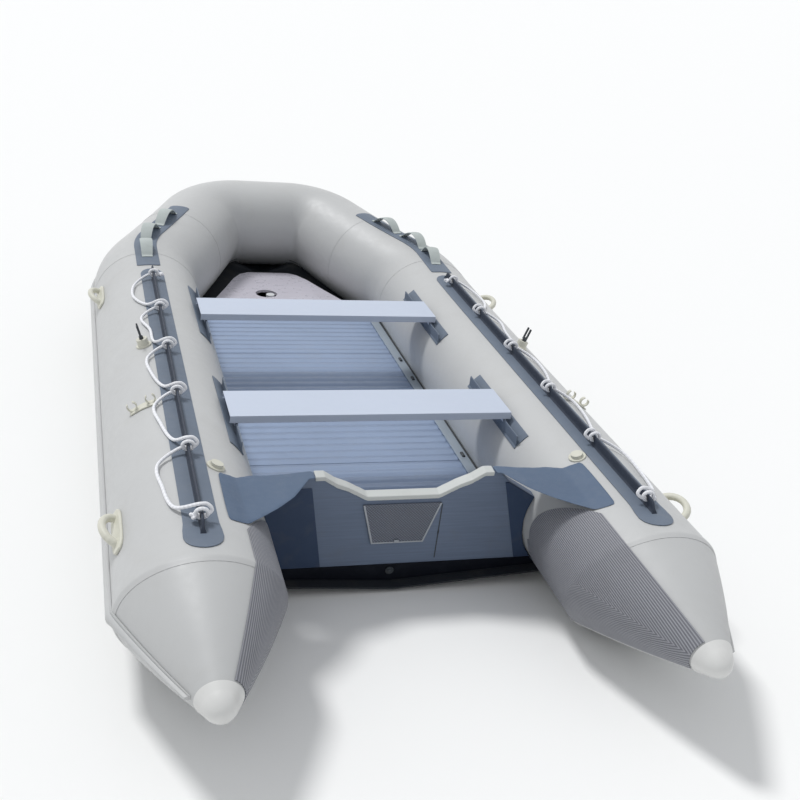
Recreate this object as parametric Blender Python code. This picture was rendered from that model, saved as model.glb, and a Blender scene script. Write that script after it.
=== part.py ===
import math

import bmesh
import bpy
from mathutils import Matrix, Vector

# Inflatable boat with a hard transom, a sectional floor and two sliding seats.
# Metres, X to starboard, Y to the bow, Z up. The boat rests on its tubes at Z = 0.
# Lengths along the boat are stations, measured from the tip of the stern cones.

# Angles from which an edge stays sharp, and the sides of round parts
sharp_angle = math.radians(35)
cord_sharp_angle = math.radians(60)
round_sides = 24
valve_hole_sides = 32

# Clearances between pieces that touch
skin_gap = 0.0003
skin_lift = 0.0006
guide_gap = 0.0015
rest_gap = 0.0005
mesh_merge = 0.00001

# Buoyancy tubes
overall_length = 4.0925
half_spacing = 0.665
tube_radius = 0.235
bow_radius = 0.2245
tube_sides = 28
leg_steps = (9, 5, 2)
knee_steps = 4
corner_steps = 8
knee_station = 3.034
corner_station = 3.8525
corner_half_width = 0.2935
knee_bend = 0.50
corner_bend = 0.26
bow_rise = 0.105
rise_start_station = 2.00
rise_power = 3.0

# Stern cones and their rubber caps
cone_seam_station = 0.400
seam_lean_share = 0.35
cone_steps = 6
cone_bulge = 0.007
cone_end_radius = 0.050
cone_end_lift = 0.047
cap_length = 0.046
cap_wall = 0.004
cap_collar = 0.026
cap_steps = 6

# Skins, the sheets that are glued on the tubes
skin_step = math.radians(6.5)
skin_thickness = 0.003
ring_margin = 0.004

# Hull bottom and inflated keel
bottom_angle = math.radians(360 * 4 / tube_sides)
bottom_thickness = 0.006
bottom_edge_gap = 0.0014
bottom_inset = 0.009
bottom_front_gap = 0.003
bottom_overhang = 0.030
bottom_columns = 8
row_margin = 0.012
keel_clearance = 0.012
keel_half_width = 0.105
keel_aft_gap = 0.020
keel_rest_gap = 0.0010
keel_ramp = 0.060
keel_nose_share = 0.55
keel_front_station = 3.300
keel_sides = 20
keel_steps = 8

# Transom
transom_station = 0.874
transom_thickness = 0.034
transom_rake = 0.082
rake_height = 0.200
board_low_gap = 0.0005
board_side_gap = 0.0016
board_side_share = 0.245
board_top_share = 1.404
board_side_steps = 10
shoulder_half_width = 0.312
shoulder_height = 0.4293
shoulder_flat = 0.052
shoulder_drop = 0.035
notch_half_width = 0.118
notch_height = 0.3503
slope_shares = ((1.0, 1.0), (0.72, 0.66), (0.45, 0.46), (0.0, 0.0))
flap_grip = 0.018
trim_end_gap = 0.003
trim_wall = 0.003
trim_top = 0.004
trim_lip = 0.0115
band_top_height = 0.086
band_thickness = 0.003
band_margin = 0.002
holder_top_height = 0.405
holder_port_top = 0.297
holder_port_low = 0.243
holder_starboard_top = 0.334
holder_starboard_low = 0.420

# Motor plates and drain
plate_top_half_width = 0.1295
plate_bottom_half_width = 0.087
plate_top_height = 0.3245
plate_bottom_height = 0.174
plate_thickness = 0.008
plate_rim_width = 0.005
plate_rim_height = 0.0025
drain_radius = 0.014
drain_boss_radius = 0.008
drain_thickness = 0.004
drain_drop = 0.024
drain_offset = -0.010

# Floor
floor_height = 0.1614
panel_thickness = 0.030
panel_start_station = 0.922
panel_count = 4
panel_gap = 0.003
floor_knee_gap = 0.059
rib_pitch = 0.0515
rib_height = 0.003
rib_width = 0.012
stringer_width = 0.0345
stringer_height = 0.046
stringer_stand = 0.006
stringer_lap = 0.010
stringer_tube_gap = 0.0012

# Bow board and keel valve
board_thickness = 0.012
board_half_width = 0.365
board_length = 0.569
board_shares = ((1.0, 0.0), (0.882, 0.281), (0.704, 0.545), (0.529, 0.821), (0.411, 0.949),
                (0.288, 1.0))
valve_hole_radius = 0.054
valve_hole_station = 3.217
valve_hole_offset = 0.055
keel_valve_radius = 0.021
keel_valve_height = 0.016
keel_valve_inset = 0.016
keel_valve_back = 0.022

# Seats and their rails
seat_overhang = 0.0225
seat_clearance = 0.0145
seat_thickness = 0.026
seat_wall = 0.003
seat_lip = 0.008
seat_forward_station = 2.287
seat_forward_width = 0.189
seat_aft_station = 1.360
seat_aft_width = 0.1995
rail_forward_start = 2.055
rail_forward_end = 2.590
rail_aft_start = 1.125
rail_aft_end = 1.640
rail_web_angle = math.radians(143.95)
rail_base_lead = math.radians(5.95)
rail_base_width = 0.066
rail_web_thickness = 0.004
guide_wall = 0.0025
guide_depth = 0.011

# Lifeline strips along the crown of the side tubes
eyelet_count = 6
eyelet_start_station = 0.560
eyelet_pitch = 0.3894
strip_end_station = 2.640
strip_width = 0.096
bulb_radius = 0.054
bulb_station = 0.490
bulb_length = 0.154
bulb_shares = ((0.0, 0.34), (0.04, 0.60), (0.12, 0.84), (0.22, 0.95), (0.36, 1.0), (0.60, 0.96),
               (0.80, 0.88), (1.0, 0.86))
strip_columns = 6
fin_start_station = 0.505
fin_ramp = 0.022
fin_foot = 0.0045
fin_thickness = 0.006
fin_height = 0.034
eyelet_height = 0.020
eyelet_hole_radius = 0.0075
eyelet_boss_radius = 0.0135
eyelet_boss_thickness = 0.011
eyelet_sides = 16

# Lifeline: a rope through the eyelets that hangs outboard in a swag between them
rope_radius = 0.0045
rope_swag = 0.085
rope_loop = 0.017
rope_loop_inner = 0.025
rope_lift = 0.003
rope_knot_share = 1.9
rope_clearance = 0.0035
rope_steps = 2
swag_place_shares = (0.12, 0.48, 0.80)
swag_out_shares = ((1.02, 1.00, 0.72), (0.84, 0.74, 0.40), (0.82, 0.78, 0.40),
                   (0.82, 0.56, 0.46), (0.85, 1.05, 0.50))

# Moulded grab handles
handle_forward_station = 2.618
handle_aft_station = 0.735
handle_angle = math.radians(27)
handle_length = 0.165
handle_width = 0.050
handle_pad = 0.006
handle_bar_radius = 0.010
handle_reach = 0.046
handle_span_share = 0.66
handle_steps = 12

# Oarlocks and oar clips
oarlock_station = 1.823
oarlock_angle = math.radians(70)
oarlock_flange_radius = 0.0285
oarlock_flange = 0.005
oarlock_boss_radius = 0.021
oarlock_boss_height = 0.030
oarlock_floor = 0.006
pin_radius = 0.0075
pin_clearance = 0.0004
yoke_stand = 0.004
yoke_thickness = 0.006
yoke_length = 0.052
yoke_width = 0.032
yoke_slot = 0.017
yoke_foot = 0.012
clip_station = 1.330
clip_angle = math.radians(63)
clip_length = 0.095
clip_width = 0.036
clip_pad = 0.005
clip_ring_radius = 0.018
clip_ring_wall = 0.0045
clip_ring_width = 0.014
clip_ring_spread = 0.030
clip_opening = math.radians(70)
clip_arc_steps = 12

# Inflation valves
valve_station = 0.892
valve_angle = math.radians(109.3)
valve_radius = 0.029
valve_flange = 0.005
valve_cap_radius = 0.020
valve_cap_height = 0.013

# Webbing carry handles on the bow tubes
carry_start_station = 2.690
carry_end_station = 3.500
carry_angle = math.radians(88)
carry_width = 0.100
carry_loops = 3
loop_start_station = 2.888
loop_pitch = 0.2095
loop_length = 0.170
loop_height = 0.046
loop_width = 0.045
loop_thickness = 0.004
loop_steps = 10

# Rub strakes along the outboard sides
strake_width = 0.056
strake_height = 0.015
strake_aft_share = 0.90
strake_profile_shares = ((0.50, 0.30), (0.34, 0.32), (0.30, 0.10), (0.24, 0.55), (0.10, 0.92),
                         (-0.10, 1.00), (-0.30, 0.78), (-0.44, 0.38))

# Wear patches under the stern cones
wear_start_angle = math.radians(123)
wear_end_angle = math.radians(222)
wear_aft_share = 0.92
wear_front_station = 0.825
wear_cut_outer = 0.560
wear_cut_outer_station = 0.525
wear_cut_inner = 0.430
wear_cut_inner_station = 0.812
wear_cut_reach = 0.6

# Fabric flaps from the transom's shoulders to the tubes
flap_thickness = 0.003
flap_outer_angle = math.radians(109.5)
flap_touch_angle = math.radians(125)
flap_aft_station = 0.592
flap_fore_station = 0.857
flap_sag = 0.006
flap_overhang = 0.011
flap_row_shares = ((0.27, 0.38, 0.05), (0.48, 0.62, 0.09), (0.66, 0.80, 0.13),
                   (0.80, 0.94, 0.65), (0.90, 0.99, 0.88), (1.00, 1.00, 1.00))

# Sizes that follow from the ones above
station_middle = overall_length / 2
rail_web_offset = half_spacing + tube_radius * math.cos(rail_web_angle)
seat_half_length = rail_web_offset + seat_overhang
seat_side_reach = half_spacing - seat_half_length
seat_bed = tube_radius + math.sqrt(tube_radius ** 2 - seat_side_reach ** 2)
seat_height = seat_bed + seat_clearance + seat_thickness
panel_pitch = (knee_station - floor_knee_gap - panel_start_station) / panel_count
panel_top = floor_height - rib_height
board_start = panel_start_station + panel_pitch * panel_count - panel_gap + skin_gap
strip_top = skin_lift + skin_thickness


def clear_scene():
    """Remove whatever the file opens with."""
    for obj in list(bpy.data.objects):
        bpy.data.objects.remove(obj, do_unlink=True)


def new_collection(name):
    coll = bpy.data.collections.new(name)
    bpy.context.scene.collection.children.link(coll)
    return coll


def material(name, color, roughness, metallic=0.0):
    mat = bpy.data.materials.new(name)
    mat.use_nodes = True
    shader = mat.node_tree.nodes["Principled BSDF"]
    shader.inputs["Base Color"].default_value = (color[0], color[1], color[2], 1.0)
    shader.inputs["Roughness"].default_value = roughness
    shader.inputs["Metallic"].default_value = metallic
    return mat


clear_scene()
boat = new_collection("inflatable_boat")
cutters = new_collection("cutters")

pvc_grey = material("pvc_grey", (0.50, 0.51, 0.51), 0.45)
pvc_slate = material("pvc_slate", (0.16, 0.20, 0.25), 0.55)
pvc_black = material("pvc_black", (0.012, 0.016, 0.028), 0.5)
rubber_light = material("rubber_light", (0.60, 0.59, 0.55), 0.5)
board_slate = material("board_slate", (0.09, 0.12, 0.17), 0.5)
plastic_cream = material("plastic_cream", (0.63, 0.61, 0.55), 0.4)
plastic_dark = material("plastic_dark", (0.05, 0.06, 0.08), 0.5)
aluminium = material("aluminium", (0.62, 0.66, 0.72), 0.35, 1.0)
aluminium_pale = material("aluminium_pale", (0.72, 0.75, 0.80), 0.4, 0.6)
board_pale = material("board_pale", (0.47, 0.45, 0.52), 0.45)
rope_white = material("rope_white", (0.72, 0.75, 0.85), 0.8)


def station_y(station):
    return station - station_middle


# Making and joining solids


def finish(obj, mat, angle=sharp_angle):
    """Material, collection and smooth shading with sharp edges."""
    obj.data.materials.clear()
    obj.data.materials.append(mat)
    for coll in list(obj.users_collection):
        coll.objects.unlink(obj)
    boat.objects.link(obj)
    obj.data.shade_smooth()
    obj.data.set_sharp_from_angle(angle=angle)
    return obj


def mesh_object(name, bm, mat, angle=sharp_angle):
    bmesh.ops.recalc_face_normals(bm, faces=bm.faces)
    mesh = bpy.data.meshes.new(name)
    bm.to_mesh(mesh)
    bm.free()
    obj = bpy.data.objects.new(name, mesh)
    boat.objects.link(obj)
    return finish(obj, mat, angle)


def loft(name, rings, mat, angle=sharp_angle):
    """Closed solid through rings that all have the same number of points."""
    bm = bmesh.new()
    rows = []
    for ring_points in rings:
        rows.append([bm.verts.new(point) for point in ring_points])
    count = len(rings[0])
    for first, second in zip(rows, rows[1:]):
        for i in range(count):
            j = (i + 1) % count
            bm.faces.new((first[i], first[j], second[j], second[i]))
    bm.faces.new(list(reversed(rows[0])))
    bm.faces.new(rows[-1])
    return mesh_object(name, bm, mat, angle)


def extrude_outline(name, outline, depth, mat, place=(0, 0, 0), turn=(0, 0, 0)):
    """Flat outline filled by a 2D curve and extruded both ways, then turned into a mesh."""
    curve = bpy.data.curves.new(name, "CURVE")
    curve.dimensions = "2D"
    curve.fill_mode = "BOTH"
    curve.extrude = depth / 2
    spline = curve.splines.new("POLY")
    spline.points.add(len(outline) - 1)
    for point, (x, y) in zip(spline.points, outline):
        point.co = (x, y, 0.0, 1.0)
    spline.use_cyclic_u = True
    result = mesh_from_curve(name, curve)
    result.location = place
    result.rotation_euler = turn
    return finish(result, mat)


def mesh_from_curve(name, curve):
    """A curve as a mesh with its caps welded."""
    obj = bpy.data.objects.new(name + "_curve", curve)
    boat.objects.link(obj)
    bpy.context.view_layer.update()
    depsgraph = bpy.context.evaluated_depsgraph_get()
    mesh = bpy.data.meshes.new_from_object(obj.evaluated_get(depsgraph))
    bpy.data.objects.remove(obj, do_unlink=True)
    bm = bmesh.new()
    bm.from_mesh(mesh)
    bmesh.ops.remove_doubles(bm, verts=bm.verts, dist=mesh_merge)
    bmesh.ops.recalc_face_normals(bm, faces=bm.faces)
    bm.to_mesh(mesh)
    bm.free()
    mesh.name = name
    result = bpy.data.objects.new(name, mesh)
    boat.objects.link(result)
    return result


def tube_curve(name, points, radius, mat, thick_ends=1.0):
    """Round rod or rope along points, with its first and last point thickened by a factor."""
    curve = bpy.data.curves.new(name, "CURVE")
    curve.dimensions = "3D"
    curve.bevel_depth = radius
    curve.bevel_resolution = 2
    curve.use_fill_caps = True
    spline = curve.splines.new("POLY")
    spline.points.add(len(points) - 1)
    for point, place in zip(spline.points, points):
        point.co = (place.x, place.y, place.z, 1.0)
    spline.points[0].radius = thick_ends
    spline.points[-1].radius = thick_ends
    return finish(mesh_from_curve(name, curve), mat, cord_sharp_angle)


def as_tool(tool):
    """Move a solid to the cutters, where it only shapes others."""
    for coll in list(tool.users_collection):
        coll.objects.unlink(tool)
    cutters.objects.link(tool)
    tool.hide_render = True
    tool.display_type = "WIRE"
    return tool


def combine(target, tool, operation):
    as_tool(tool)
    modifier = target.modifiers.new(operation.lower(), "BOOLEAN")
    modifier.operation = operation
    modifier.solver = "EXACT"
    modifier.object = tool
    return target


def cut(target, tool):
    return combine(target, tool, "DIFFERENCE")


def join(target, tool):
    return combine(target, tool, "UNION")


def cylinder(name, radius, depth, mat, place, turn=(0, 0, 0), sides=round_sides):
    bpy.ops.mesh.primitive_cylinder_add(vertices=sides, radius=radius, depth=depth,
                                        location=place, rotation=turn)
    obj = bpy.context.object
    obj.name = name
    obj.data.name = name
    return finish(obj, mat)


def block(name, size, mat, place):
    bpy.ops.mesh.primitive_cube_add(size=1.0, location=place)
    obj = bpy.context.object
    obj.name = name
    obj.scale = size
    bpy.ops.object.transform_apply(location=False, rotation=False, scale=True)
    return finish(obj, mat)


# The tubes' centre line and sections


def half_path():
    """Plan of the tube's centre line on one side, from the cone seam to the bow's middle."""
    knee = Vector((half_spacing, station_y(knee_station)))
    corner = Vector((corner_half_width, station_y(corner_station)))
    start = Vector((half_spacing, station_y(cone_seam_station)))
    middle = Vector((0.0, station_y(corner_station)))
    points = []
    bend_marks = []
    legs = [start, knee, corner, middle]
    bends = [0.0, knee_bend, corner_bend, 0.0]
    bend_steps = [0, knee_steps, corner_steps, 0]
    cursor = start
    for index in range(1, len(legs)):
        target = legs[index]
        if bends[index] == 0.0:
            entry = target
        else:
            into = (target - legs[index - 1]).normalized()
            out = (legs[index + 1] - target).normalized()
            turn = into.angle(out)
            back = bends[index] * math.tan(turn / 2)
            entry = target - into * back
        for step in range(leg_steps[index - 1]):
            points.append(cursor.lerp(entry, step / leg_steps[index - 1]))
        if bends[index] == 0.0:
            points.append(entry)
            break
        steps = bend_steps[index]
        bend_marks.append(len(points) + steps // 2)
        inward = (out - into).normalized()
        centre = target + inward * math.hypot(bends[index], back)
        for step in range(steps + 1):
            arm = entry - centre
            arm.rotate(Matrix.Rotation(turn * step / steps, 2))
            cursor = centre + arm
            if step < steps:
                points.append(cursor)
    return points, bend_marks


def rise_at(y):
    """How far the tubes' centre line has risen towards the bow."""
    reach = station_y(corner_station) - station_y(rise_start_station)
    share = max(0.0, (y - station_y(rise_start_station)) / reach)
    return bow_rise * share ** rise_power


def radius_at(y):
    first = station_y(knee_station)
    last = station_y(corner_station)
    share = min(1.0, max(0.0, (y - first) / (last - first)))
    return tube_radius + (bow_radius - tube_radius) * share


class Section:
    """One cross-section of the tube: centre, direction, radius."""

    def __init__(self, centre, tangent, radius):
        self.centre = centre
        self.tangent = tangent.normalized()
        self.side = self.tangent.cross(Vector((0, 0, 1))).normalized()
        self.up = self.side.cross(self.tangent).normalized()
        self.radius = radius

    def surface(self, angle, height):
        """Point at an angle over the crown (90 degrees) and a height above the skin."""
        out = self.side * math.cos(angle) + self.up * math.sin(angle)
        return self.centre + out * (self.radius + height)


class ConeSection:
    """One cross-section of the stern cone, between the leaning seam and the round end."""

    def __init__(self, side, share):
        self.share = share
        self.seam = sections[side][0]
        end = Vector((self.seam.centre.x, station_y(cap_length), self.seam.centre.z + cone_end_lift))
        self.tip = Section(end, self.seam.tangent, cone_end_radius)
        self.radius = self.seam.radius + (self.tip.radius - self.seam.radius) * share

    def surface(self, angle, height):
        start = seam_point(self.seam, angle)
        end = self.tip.surface(angle, 0.0)
        out = self.seam.side * math.cos(angle) + self.seam.up * math.sin(angle)
        swell = cone_bulge * math.sin(math.pi * self.share)
        return start.lerp(end, self.share) + out * (swell + height)


def seam_point(section, angle):
    """Point of the cone seam, which lies further forward the lower it is."""
    point = section.surface(angle, 0.0)
    drop = section.centre.z + section.radius - point.z
    return point + section.tangent * drop * seam_lean_share


def tube_sections(side):
    """Sections from the cone seam to the middle of the bow on one side, side +1 or -1."""
    centres = []
    for point in plan:
        centres.append(Vector((point.x * side, point.y, tube_radius + rise_at(point.y))))
    result = []
    for i, centre in enumerate(centres):
        before = centres[max(i - 1, 0)]
        after = centres[min(i + 1, len(centres) - 1)]
        tangent = after - before
        if i == len(centres) - 1:
            tangent = Vector((-side, 0, 0))
        result.append(Section(centre, tangent, radius_at(centre.y)))
    return result


plan, marks = half_path()
sections = {1: tube_sections(1), -1: tube_sections(-1)}
side_names = {1: "starboard", -1: "port"}


def outboard_angle(side, angle):
    """Angles run from outboard (0) over the crown to inboard (180) on both sides."""
    return angle if side > 0 else math.pi - angle


def section_at(side, station):
    """Section of the tube at one station."""
    chain = sections[side]
    target = max(station_y(station), chain[0].centre.y)
    for first, second in zip(chain, chain[1:]):
        if first.centre.y <= target <= second.centre.y:
            part = (target - first.centre.y) / (second.centre.y - first.centre.y)
            centre = first.centre.lerp(second.centre, part)
            tangent = first.tangent.lerp(second.tangent, part)
            radius = first.radius + (second.radius - first.radius) * part
            return Section(centre, tangent, radius)
    return chain[-1]


def between(side, start, end):
    """Two stations and the tube's own rings between them, so that a skin follows its facets."""
    result = [section_at(side, start)]
    for section in sections[side]:
        if station_y(start) + ring_margin < section.centre.y < station_y(end) - ring_margin:
            result.append(section)
    result.append(section_at(side, end))
    return result


def spot(side, station, angle, height):
    """Point over the tube at a station, an angle and a height above the skin."""
    return section_at(side, station).surface(outboard_angle(side, angle), height)


def tube_inner_x(z, y, gap):
    """Half-width between the tubes at a height."""
    chain = sections[1]
    for first, second in zip(chain, chain[1:]):
        if first.centre.y <= y <= second.centre.y:
            part = (y - first.centre.y) / (second.centre.y - first.centre.y)
            centre = first.centre.lerp(second.centre, part)
            radius = first.radius + (second.radius - first.radius) * part + gap
            drop = z - centre.z
            return centre.x - math.sqrt(max(radius * radius - drop * drop, 0.0))
    return 0.0


# Tubes, cones and caps


def ring(section, shift=0.0):
    points = []
    for i in range(tube_sides):
        angle = 2 * math.pi * i / tube_sides
        points.append(section.surface(angle, 0.0) + section.tangent * shift)
    return points


def seam_ring(section, shift):
    points = []
    for i in range(tube_sides):
        points.append(seam_point(section, 2 * math.pi * i / tube_sides) + section.tangent * shift)
    return points


def tube_piece(name, chain, leaning_start=False):
    rings = [ring(section) for section in chain]
    rings[0] = ring(chain[0], skin_gap / 2)
    if leaning_start:
        rings[0] = seam_ring(chain[0], skin_gap / 2)
    rings[-1] = ring(chain[-1], -skin_gap / 2)
    return loft(name, rings, pvc_grey)


def build_tubes():
    for side, label in side_names.items():
        chain = sections[side]
        knee, corner = marks
        tube_piece(label + "_tube", chain[:knee + 1], leaning_start=True)
        tube_piece(label + "_bow_tube", chain[knee:corner + 1])
    left = sections[-1][marks[1]:]
    right = sections[1][marks[1]:]
    chain = list(left)
    for section in reversed(right[:-1]):
        chain.append(Section(section.centre, -section.tangent, section.radius))
    tube_piece("bow_tube", chain)


def build_cones():
    for side, label in side_names.items():
        rings = [seam_ring(sections[side][0], -skin_gap / 2)]
        for step in range(1, cone_steps + 1):
            here = ConeSection(side, step / cone_steps)
            rings.append([here.surface(2 * math.pi * i / tube_sides, 0.0) for i in range(tube_sides)])
        loft(label + "_cone", rings, pvc_grey)
        build_cap(side, label)


def build_cap(side, label):
    """Rubber cap: a collar around the cone's end and a round nose, hollow where the cone sits."""
    tip = ConeSection(side, 1.0).tip
    reach = station_y(cone_seam_station) - station_y(cap_length)
    collar_share = 1.0 - cap_collar / reach
    collar = ConeSection(side, collar_share)
    floor = Section(tip.centre - tip.tangent * skin_gap, tip.tangent, tip.radius + skin_gap)
    angles = [2 * math.pi * i / tube_sides for i in range(tube_sides)]
    rings = [[floor.centre.copy() + (floor.surface(a, 0.0) - floor.centre) / 2 for a in angles]]
    rings.append([floor.surface(a, 0.0) for a in angles])
    rings.append([collar.surface(a, skin_lift) for a in angles])
    rings.append([collar.surface(a, cap_wall) for a in angles])
    outer = tip.radius + cap_wall
    for step in range(cap_steps):
        turn = math.pi / 2 * step / cap_steps
        centre = tip.centre - tip.tangent * cap_length * math.sin(turn)
        nose = Section(centre, tip.tangent, outer * math.cos(turn))
        rings.append([nose.surface(a, 0.0) for a in angles])
    nose_end = Section(tip.centre - tip.tangent * cap_length, tip.tangent, outer * math.cos(turn) / 2)
    rings.append([nose_end.surface(a, 0.0) for a in angles])
    loft(label + "_cone_cap", rings, rubber_light)


# Skins that lie on a tube or its cone


def steps_across(width_angle, most=skin_step):
    return max(2, math.ceil(width_angle / most))


def spread(first, last, count):
    """Evenly spaced values, both ends included."""
    return [first + (last - first) * i / count for i in range(count + 1)]


def cone_rows(side, aft_share):
    """Cone sections from an aft share forward to the seam, on the cone's own rings."""
    shares = [aft_share]
    for step in range(cone_steps - 1, -1, -1):
        if step / cone_steps < aft_share:
            shares.append(step / cone_steps)
    return [ConeSection(side, share) for share in shares]


def skin(name, side, rows, thickness, mat):
    """Sheet of one thickness. Rows are (section, first angle, last angle) and share one width count."""
    count = max(steps_across(abs(last - first)) for section, first, last in rows)
    rings = []
    for section, first, last in rows:
        angles = [outboard_angle(side, turn) for turn in spread(first, last, count)]
        lower = [section.surface(turn, skin_lift) for turn in angles]
        upper = [section.surface(turn, skin_lift + thickness) for turn in reversed(angles)]
        rings.append(lower + upper)
    return loft(name, rings, mat)


def profile_ring(section, side, profile):
    """Profile points are (angle over the tube, height above its skin)."""
    return [section.surface(outboard_angle(side, turn), height) for turn, height in profile]


def stadium_rows(side, station, angle, length, width):
    """Rows of a patch with round ends, along the tube."""
    round_shares = (0.0, 0.06, 0.16, 0.30)
    half_shares = (0.46, 0.76, 0.94, 1.0)
    half = width / 2 / tube_radius
    rows = []
    for place, share in zip(round_shares, half_shares):
        here = section_at(side, station - length * (0.5 - place))
        rows.append((here, angle - half * share, angle + half * share))
    for place, share in zip(reversed(round_shares), reversed(half_shares)):
        here = section_at(side, station + length * (0.5 - place))
        rows.append((here, angle - half * share, angle + half * share))
    return rows


# Lifeline strips: patch with a round stern end, standing fin and eyelets


def strip_half_width(station):
    """Half-width of the patch in plan, which swells to a bulb at its stern end."""
    aft = bulb_station - bulb_radius
    share = (station - aft) / bulb_length
    if share >= 1.0:
        return strip_width / 2
    for (place, wide), (next_place, next_wide) in zip(bulb_shares, bulb_shares[1:]):
        if share <= next_place:
            part = (share - place) / (next_place - place)
            return bulb_radius * (wide + (next_wide - wide) * part)
    return strip_width / 2


def strip_profile(half, fin):
    crown = math.pi / 2
    foot = fin_foot / tube_radius
    head = fin_thickness / 2 / tube_radius
    shares = spread(-1.0, 1.0, strip_columns)
    profile = [(crown + half * share, skin_lift) for share in shares]
    for share in reversed(shares):
        if share > 0:
            profile.append((crown + half * share, strip_top))
    profile.append((crown + foot, strip_top))
    profile.append((crown + head, strip_top + fin))
    profile.append((crown - head, strip_top + fin))
    profile.append((crown - foot, strip_top))
    for share in reversed(shares):
        if share < 0:
            profile.append((crown + half * share, strip_top))
    return profile


def eyelet_stations():
    return [eyelet_start_station + eyelet_pitch * number for number in range(eyelet_count)]


def build_strips():
    aft = bulb_station - bulb_radius
    for side, label in side_names.items():
        places = [aft + bulb_length * place for place, wide in bulb_shares]
        places += [fin_start_station, fin_start_station + fin_ramp]
        for section in between(side, aft + bulb_length + fin_ramp, strip_end_station):
            places.append(section.centre.y + station_middle)
        rings = []
        for station in sorted(places):
            half = strip_half_width(station) / tube_radius
            rise = (station - fin_start_station) / fin_ramp
            fin = fin_height * min(1.0, max(0.0, rise))
            rings.append(profile_ring(section_at(side, station), side, strip_profile(half, fin)))
        strip = loft(label + "_rope_strip", rings, pvc_slate)
        for number, station in enumerate(eyelet_stations()):
            middle = spot(side, station, math.pi / 2, strip_top + eyelet_height)
            name = label + "_eyelet_" + str(number)
            turn = (0, math.pi / 2, 0)
            boss = cylinder(name + "_boss", eyelet_boss_radius, eyelet_boss_thickness, pvc_slate,
                            middle, turn, eyelet_sides)
            join(strip, boss)
            hole = cylinder(name + "_hole", eyelet_hole_radius, strip_width, pvc_slate,
                            middle, turn, eyelet_sides)
            cut(strip, hole)


# Lifelines


def smooth_route(points, steps):
    """Points on a curve through a route's own points, with even parameters by chord length."""
    padded = [points[0] * 2 - points[1]] + points + [points[-1] * 2 - points[-2]]
    result = []
    for i in range(1, len(padded) - 2):
        before, start, end, after = padded[i - 1:i + 3]
        knots = [0.0]
        for a, b in ((before, start), (start, end), (end, after)):
            knots.append(knots[-1] + math.sqrt((b - a).length))
        for step in range(steps):
            t = knots[1] + (knots[2] - knots[1]) * step / steps
            a1 = before.lerp(start, (t - knots[0]) / (knots[1] - knots[0]))
            a2 = start.lerp(end, (t - knots[1]) / (knots[2] - knots[1]))
            a3 = end.lerp(after, (t - knots[2]) / (knots[3] - knots[2]))
            b1 = a1.lerp(a2, (t - knots[0]) / (knots[2] - knots[0]))
            b2 = a2.lerp(a3, (t - knots[1]) / (knots[3] - knots[1]))
            result.append(b1.lerp(b2, (t - knots[1]) / (knots[2] - knots[1])))
    result.append(points[-1])
    return result


def lifeline_route(side):
    """Through each eyelet to the inboard side, over the fin, and outboard in a swag to the next."""
    hole = strip_top + eyelet_height
    over = strip_top + fin_height + rope_radius + rope_clearance
    low = strip_top + rope_radius + rope_clearance
    route = []

    def place(station, across, height):
        return spot(side, station, math.pi / 2 + across / tube_radius, height)

    places = eyelet_stations()
    for number, station in enumerate(places):
        route.append(place(station, -rope_loop, hole))
        route.append(place(station, 0.0, hole))
        route.append(place(station, rope_loop_inner, hole + rope_lift))
        if number == eyelet_count - 1:
            break
        route.append(place(station + rope_loop, 0.0, over + rope_lift))
        for part, out in zip(reversed(swag_place_shares), reversed(swag_out_shares[number])):
            forward = station + eyelet_pitch * (1 - part)
            route.append(place(forward, -rope_swag * out, low))
    return route


def build_lifelines():
    for side, label in side_names.items():
        points = smooth_route(lifeline_route(side), rope_steps)
        tube_curve(label + "_lifeline", points, rope_radius, rope_white, rope_knot_share)


# Hull bottom and keel


def edge_samples(inset):
    """Where the hull bottom meets the tubes, as points along the starboard side."""
    result = []
    for section in sections[1]:
        reach = section.radius + bottom_edge_gap
        point = section.centre - section.side * (reach * math.cos(bottom_angle) + inset)
        point = point - section.up * reach * math.sin(bottom_angle)
        result.append(point)
    return result


def edge_at(edges, y):
    for first, second in zip(edges, edges[1:]):
        if first.y <= y <= second.y:
            return first.lerp(second, (y - first.y) / (second.y - first.y))
    return edges[-1]


def build_bottom():
    low_edges = edge_samples(0.0)
    top_edges = edge_samples(bottom_inset)
    start_y = station_y(transom_station - bottom_overhang)
    front_y = low_edges[-1].y - bottom_front_gap
    row_places = [start_y]
    for edge in low_edges:
        if start_y + row_margin < edge.y < front_y - row_margin:
            row_places.append(edge.y)
    row_places.append(front_y)
    rings = []
    for y in row_places:
        low = edge_at(low_edges, y)
        top_y = min(y, front_y - bottom_inset)
        top = edge_at(top_edges, top_y)
        keel = keel_clearance + rise_at(y)
        lower = []
        upper = []
        for share in spread(-1.0, 1.0, bottom_columns):
            z = keel + (low.z - keel) * abs(share)
            lower.append((low.x * share, y, z))
            upper.append((top.x * share, top_y, z + bottom_thickness))
        rings.append(lower + list(reversed(upper)))
    loft("hull_bottom", rings, pvc_black)


def keel_ring(station, top, width_share=1.0):
    """Oval section of the inflated keel between the hull bottom and what lies on it."""
    y = station_y(station)
    low = keel_clearance + rise_at(y) + bottom_thickness + keel_rest_gap
    radius = (top - keel_rest_gap - low) / 2
    points = []
    for i in range(keel_sides):
        angle = 2 * math.pi * i / keel_sides
        points.append((keel_half_width * width_share * math.cos(angle), y,
                       low + radius + radius * math.sin(angle)))
    return points


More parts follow.
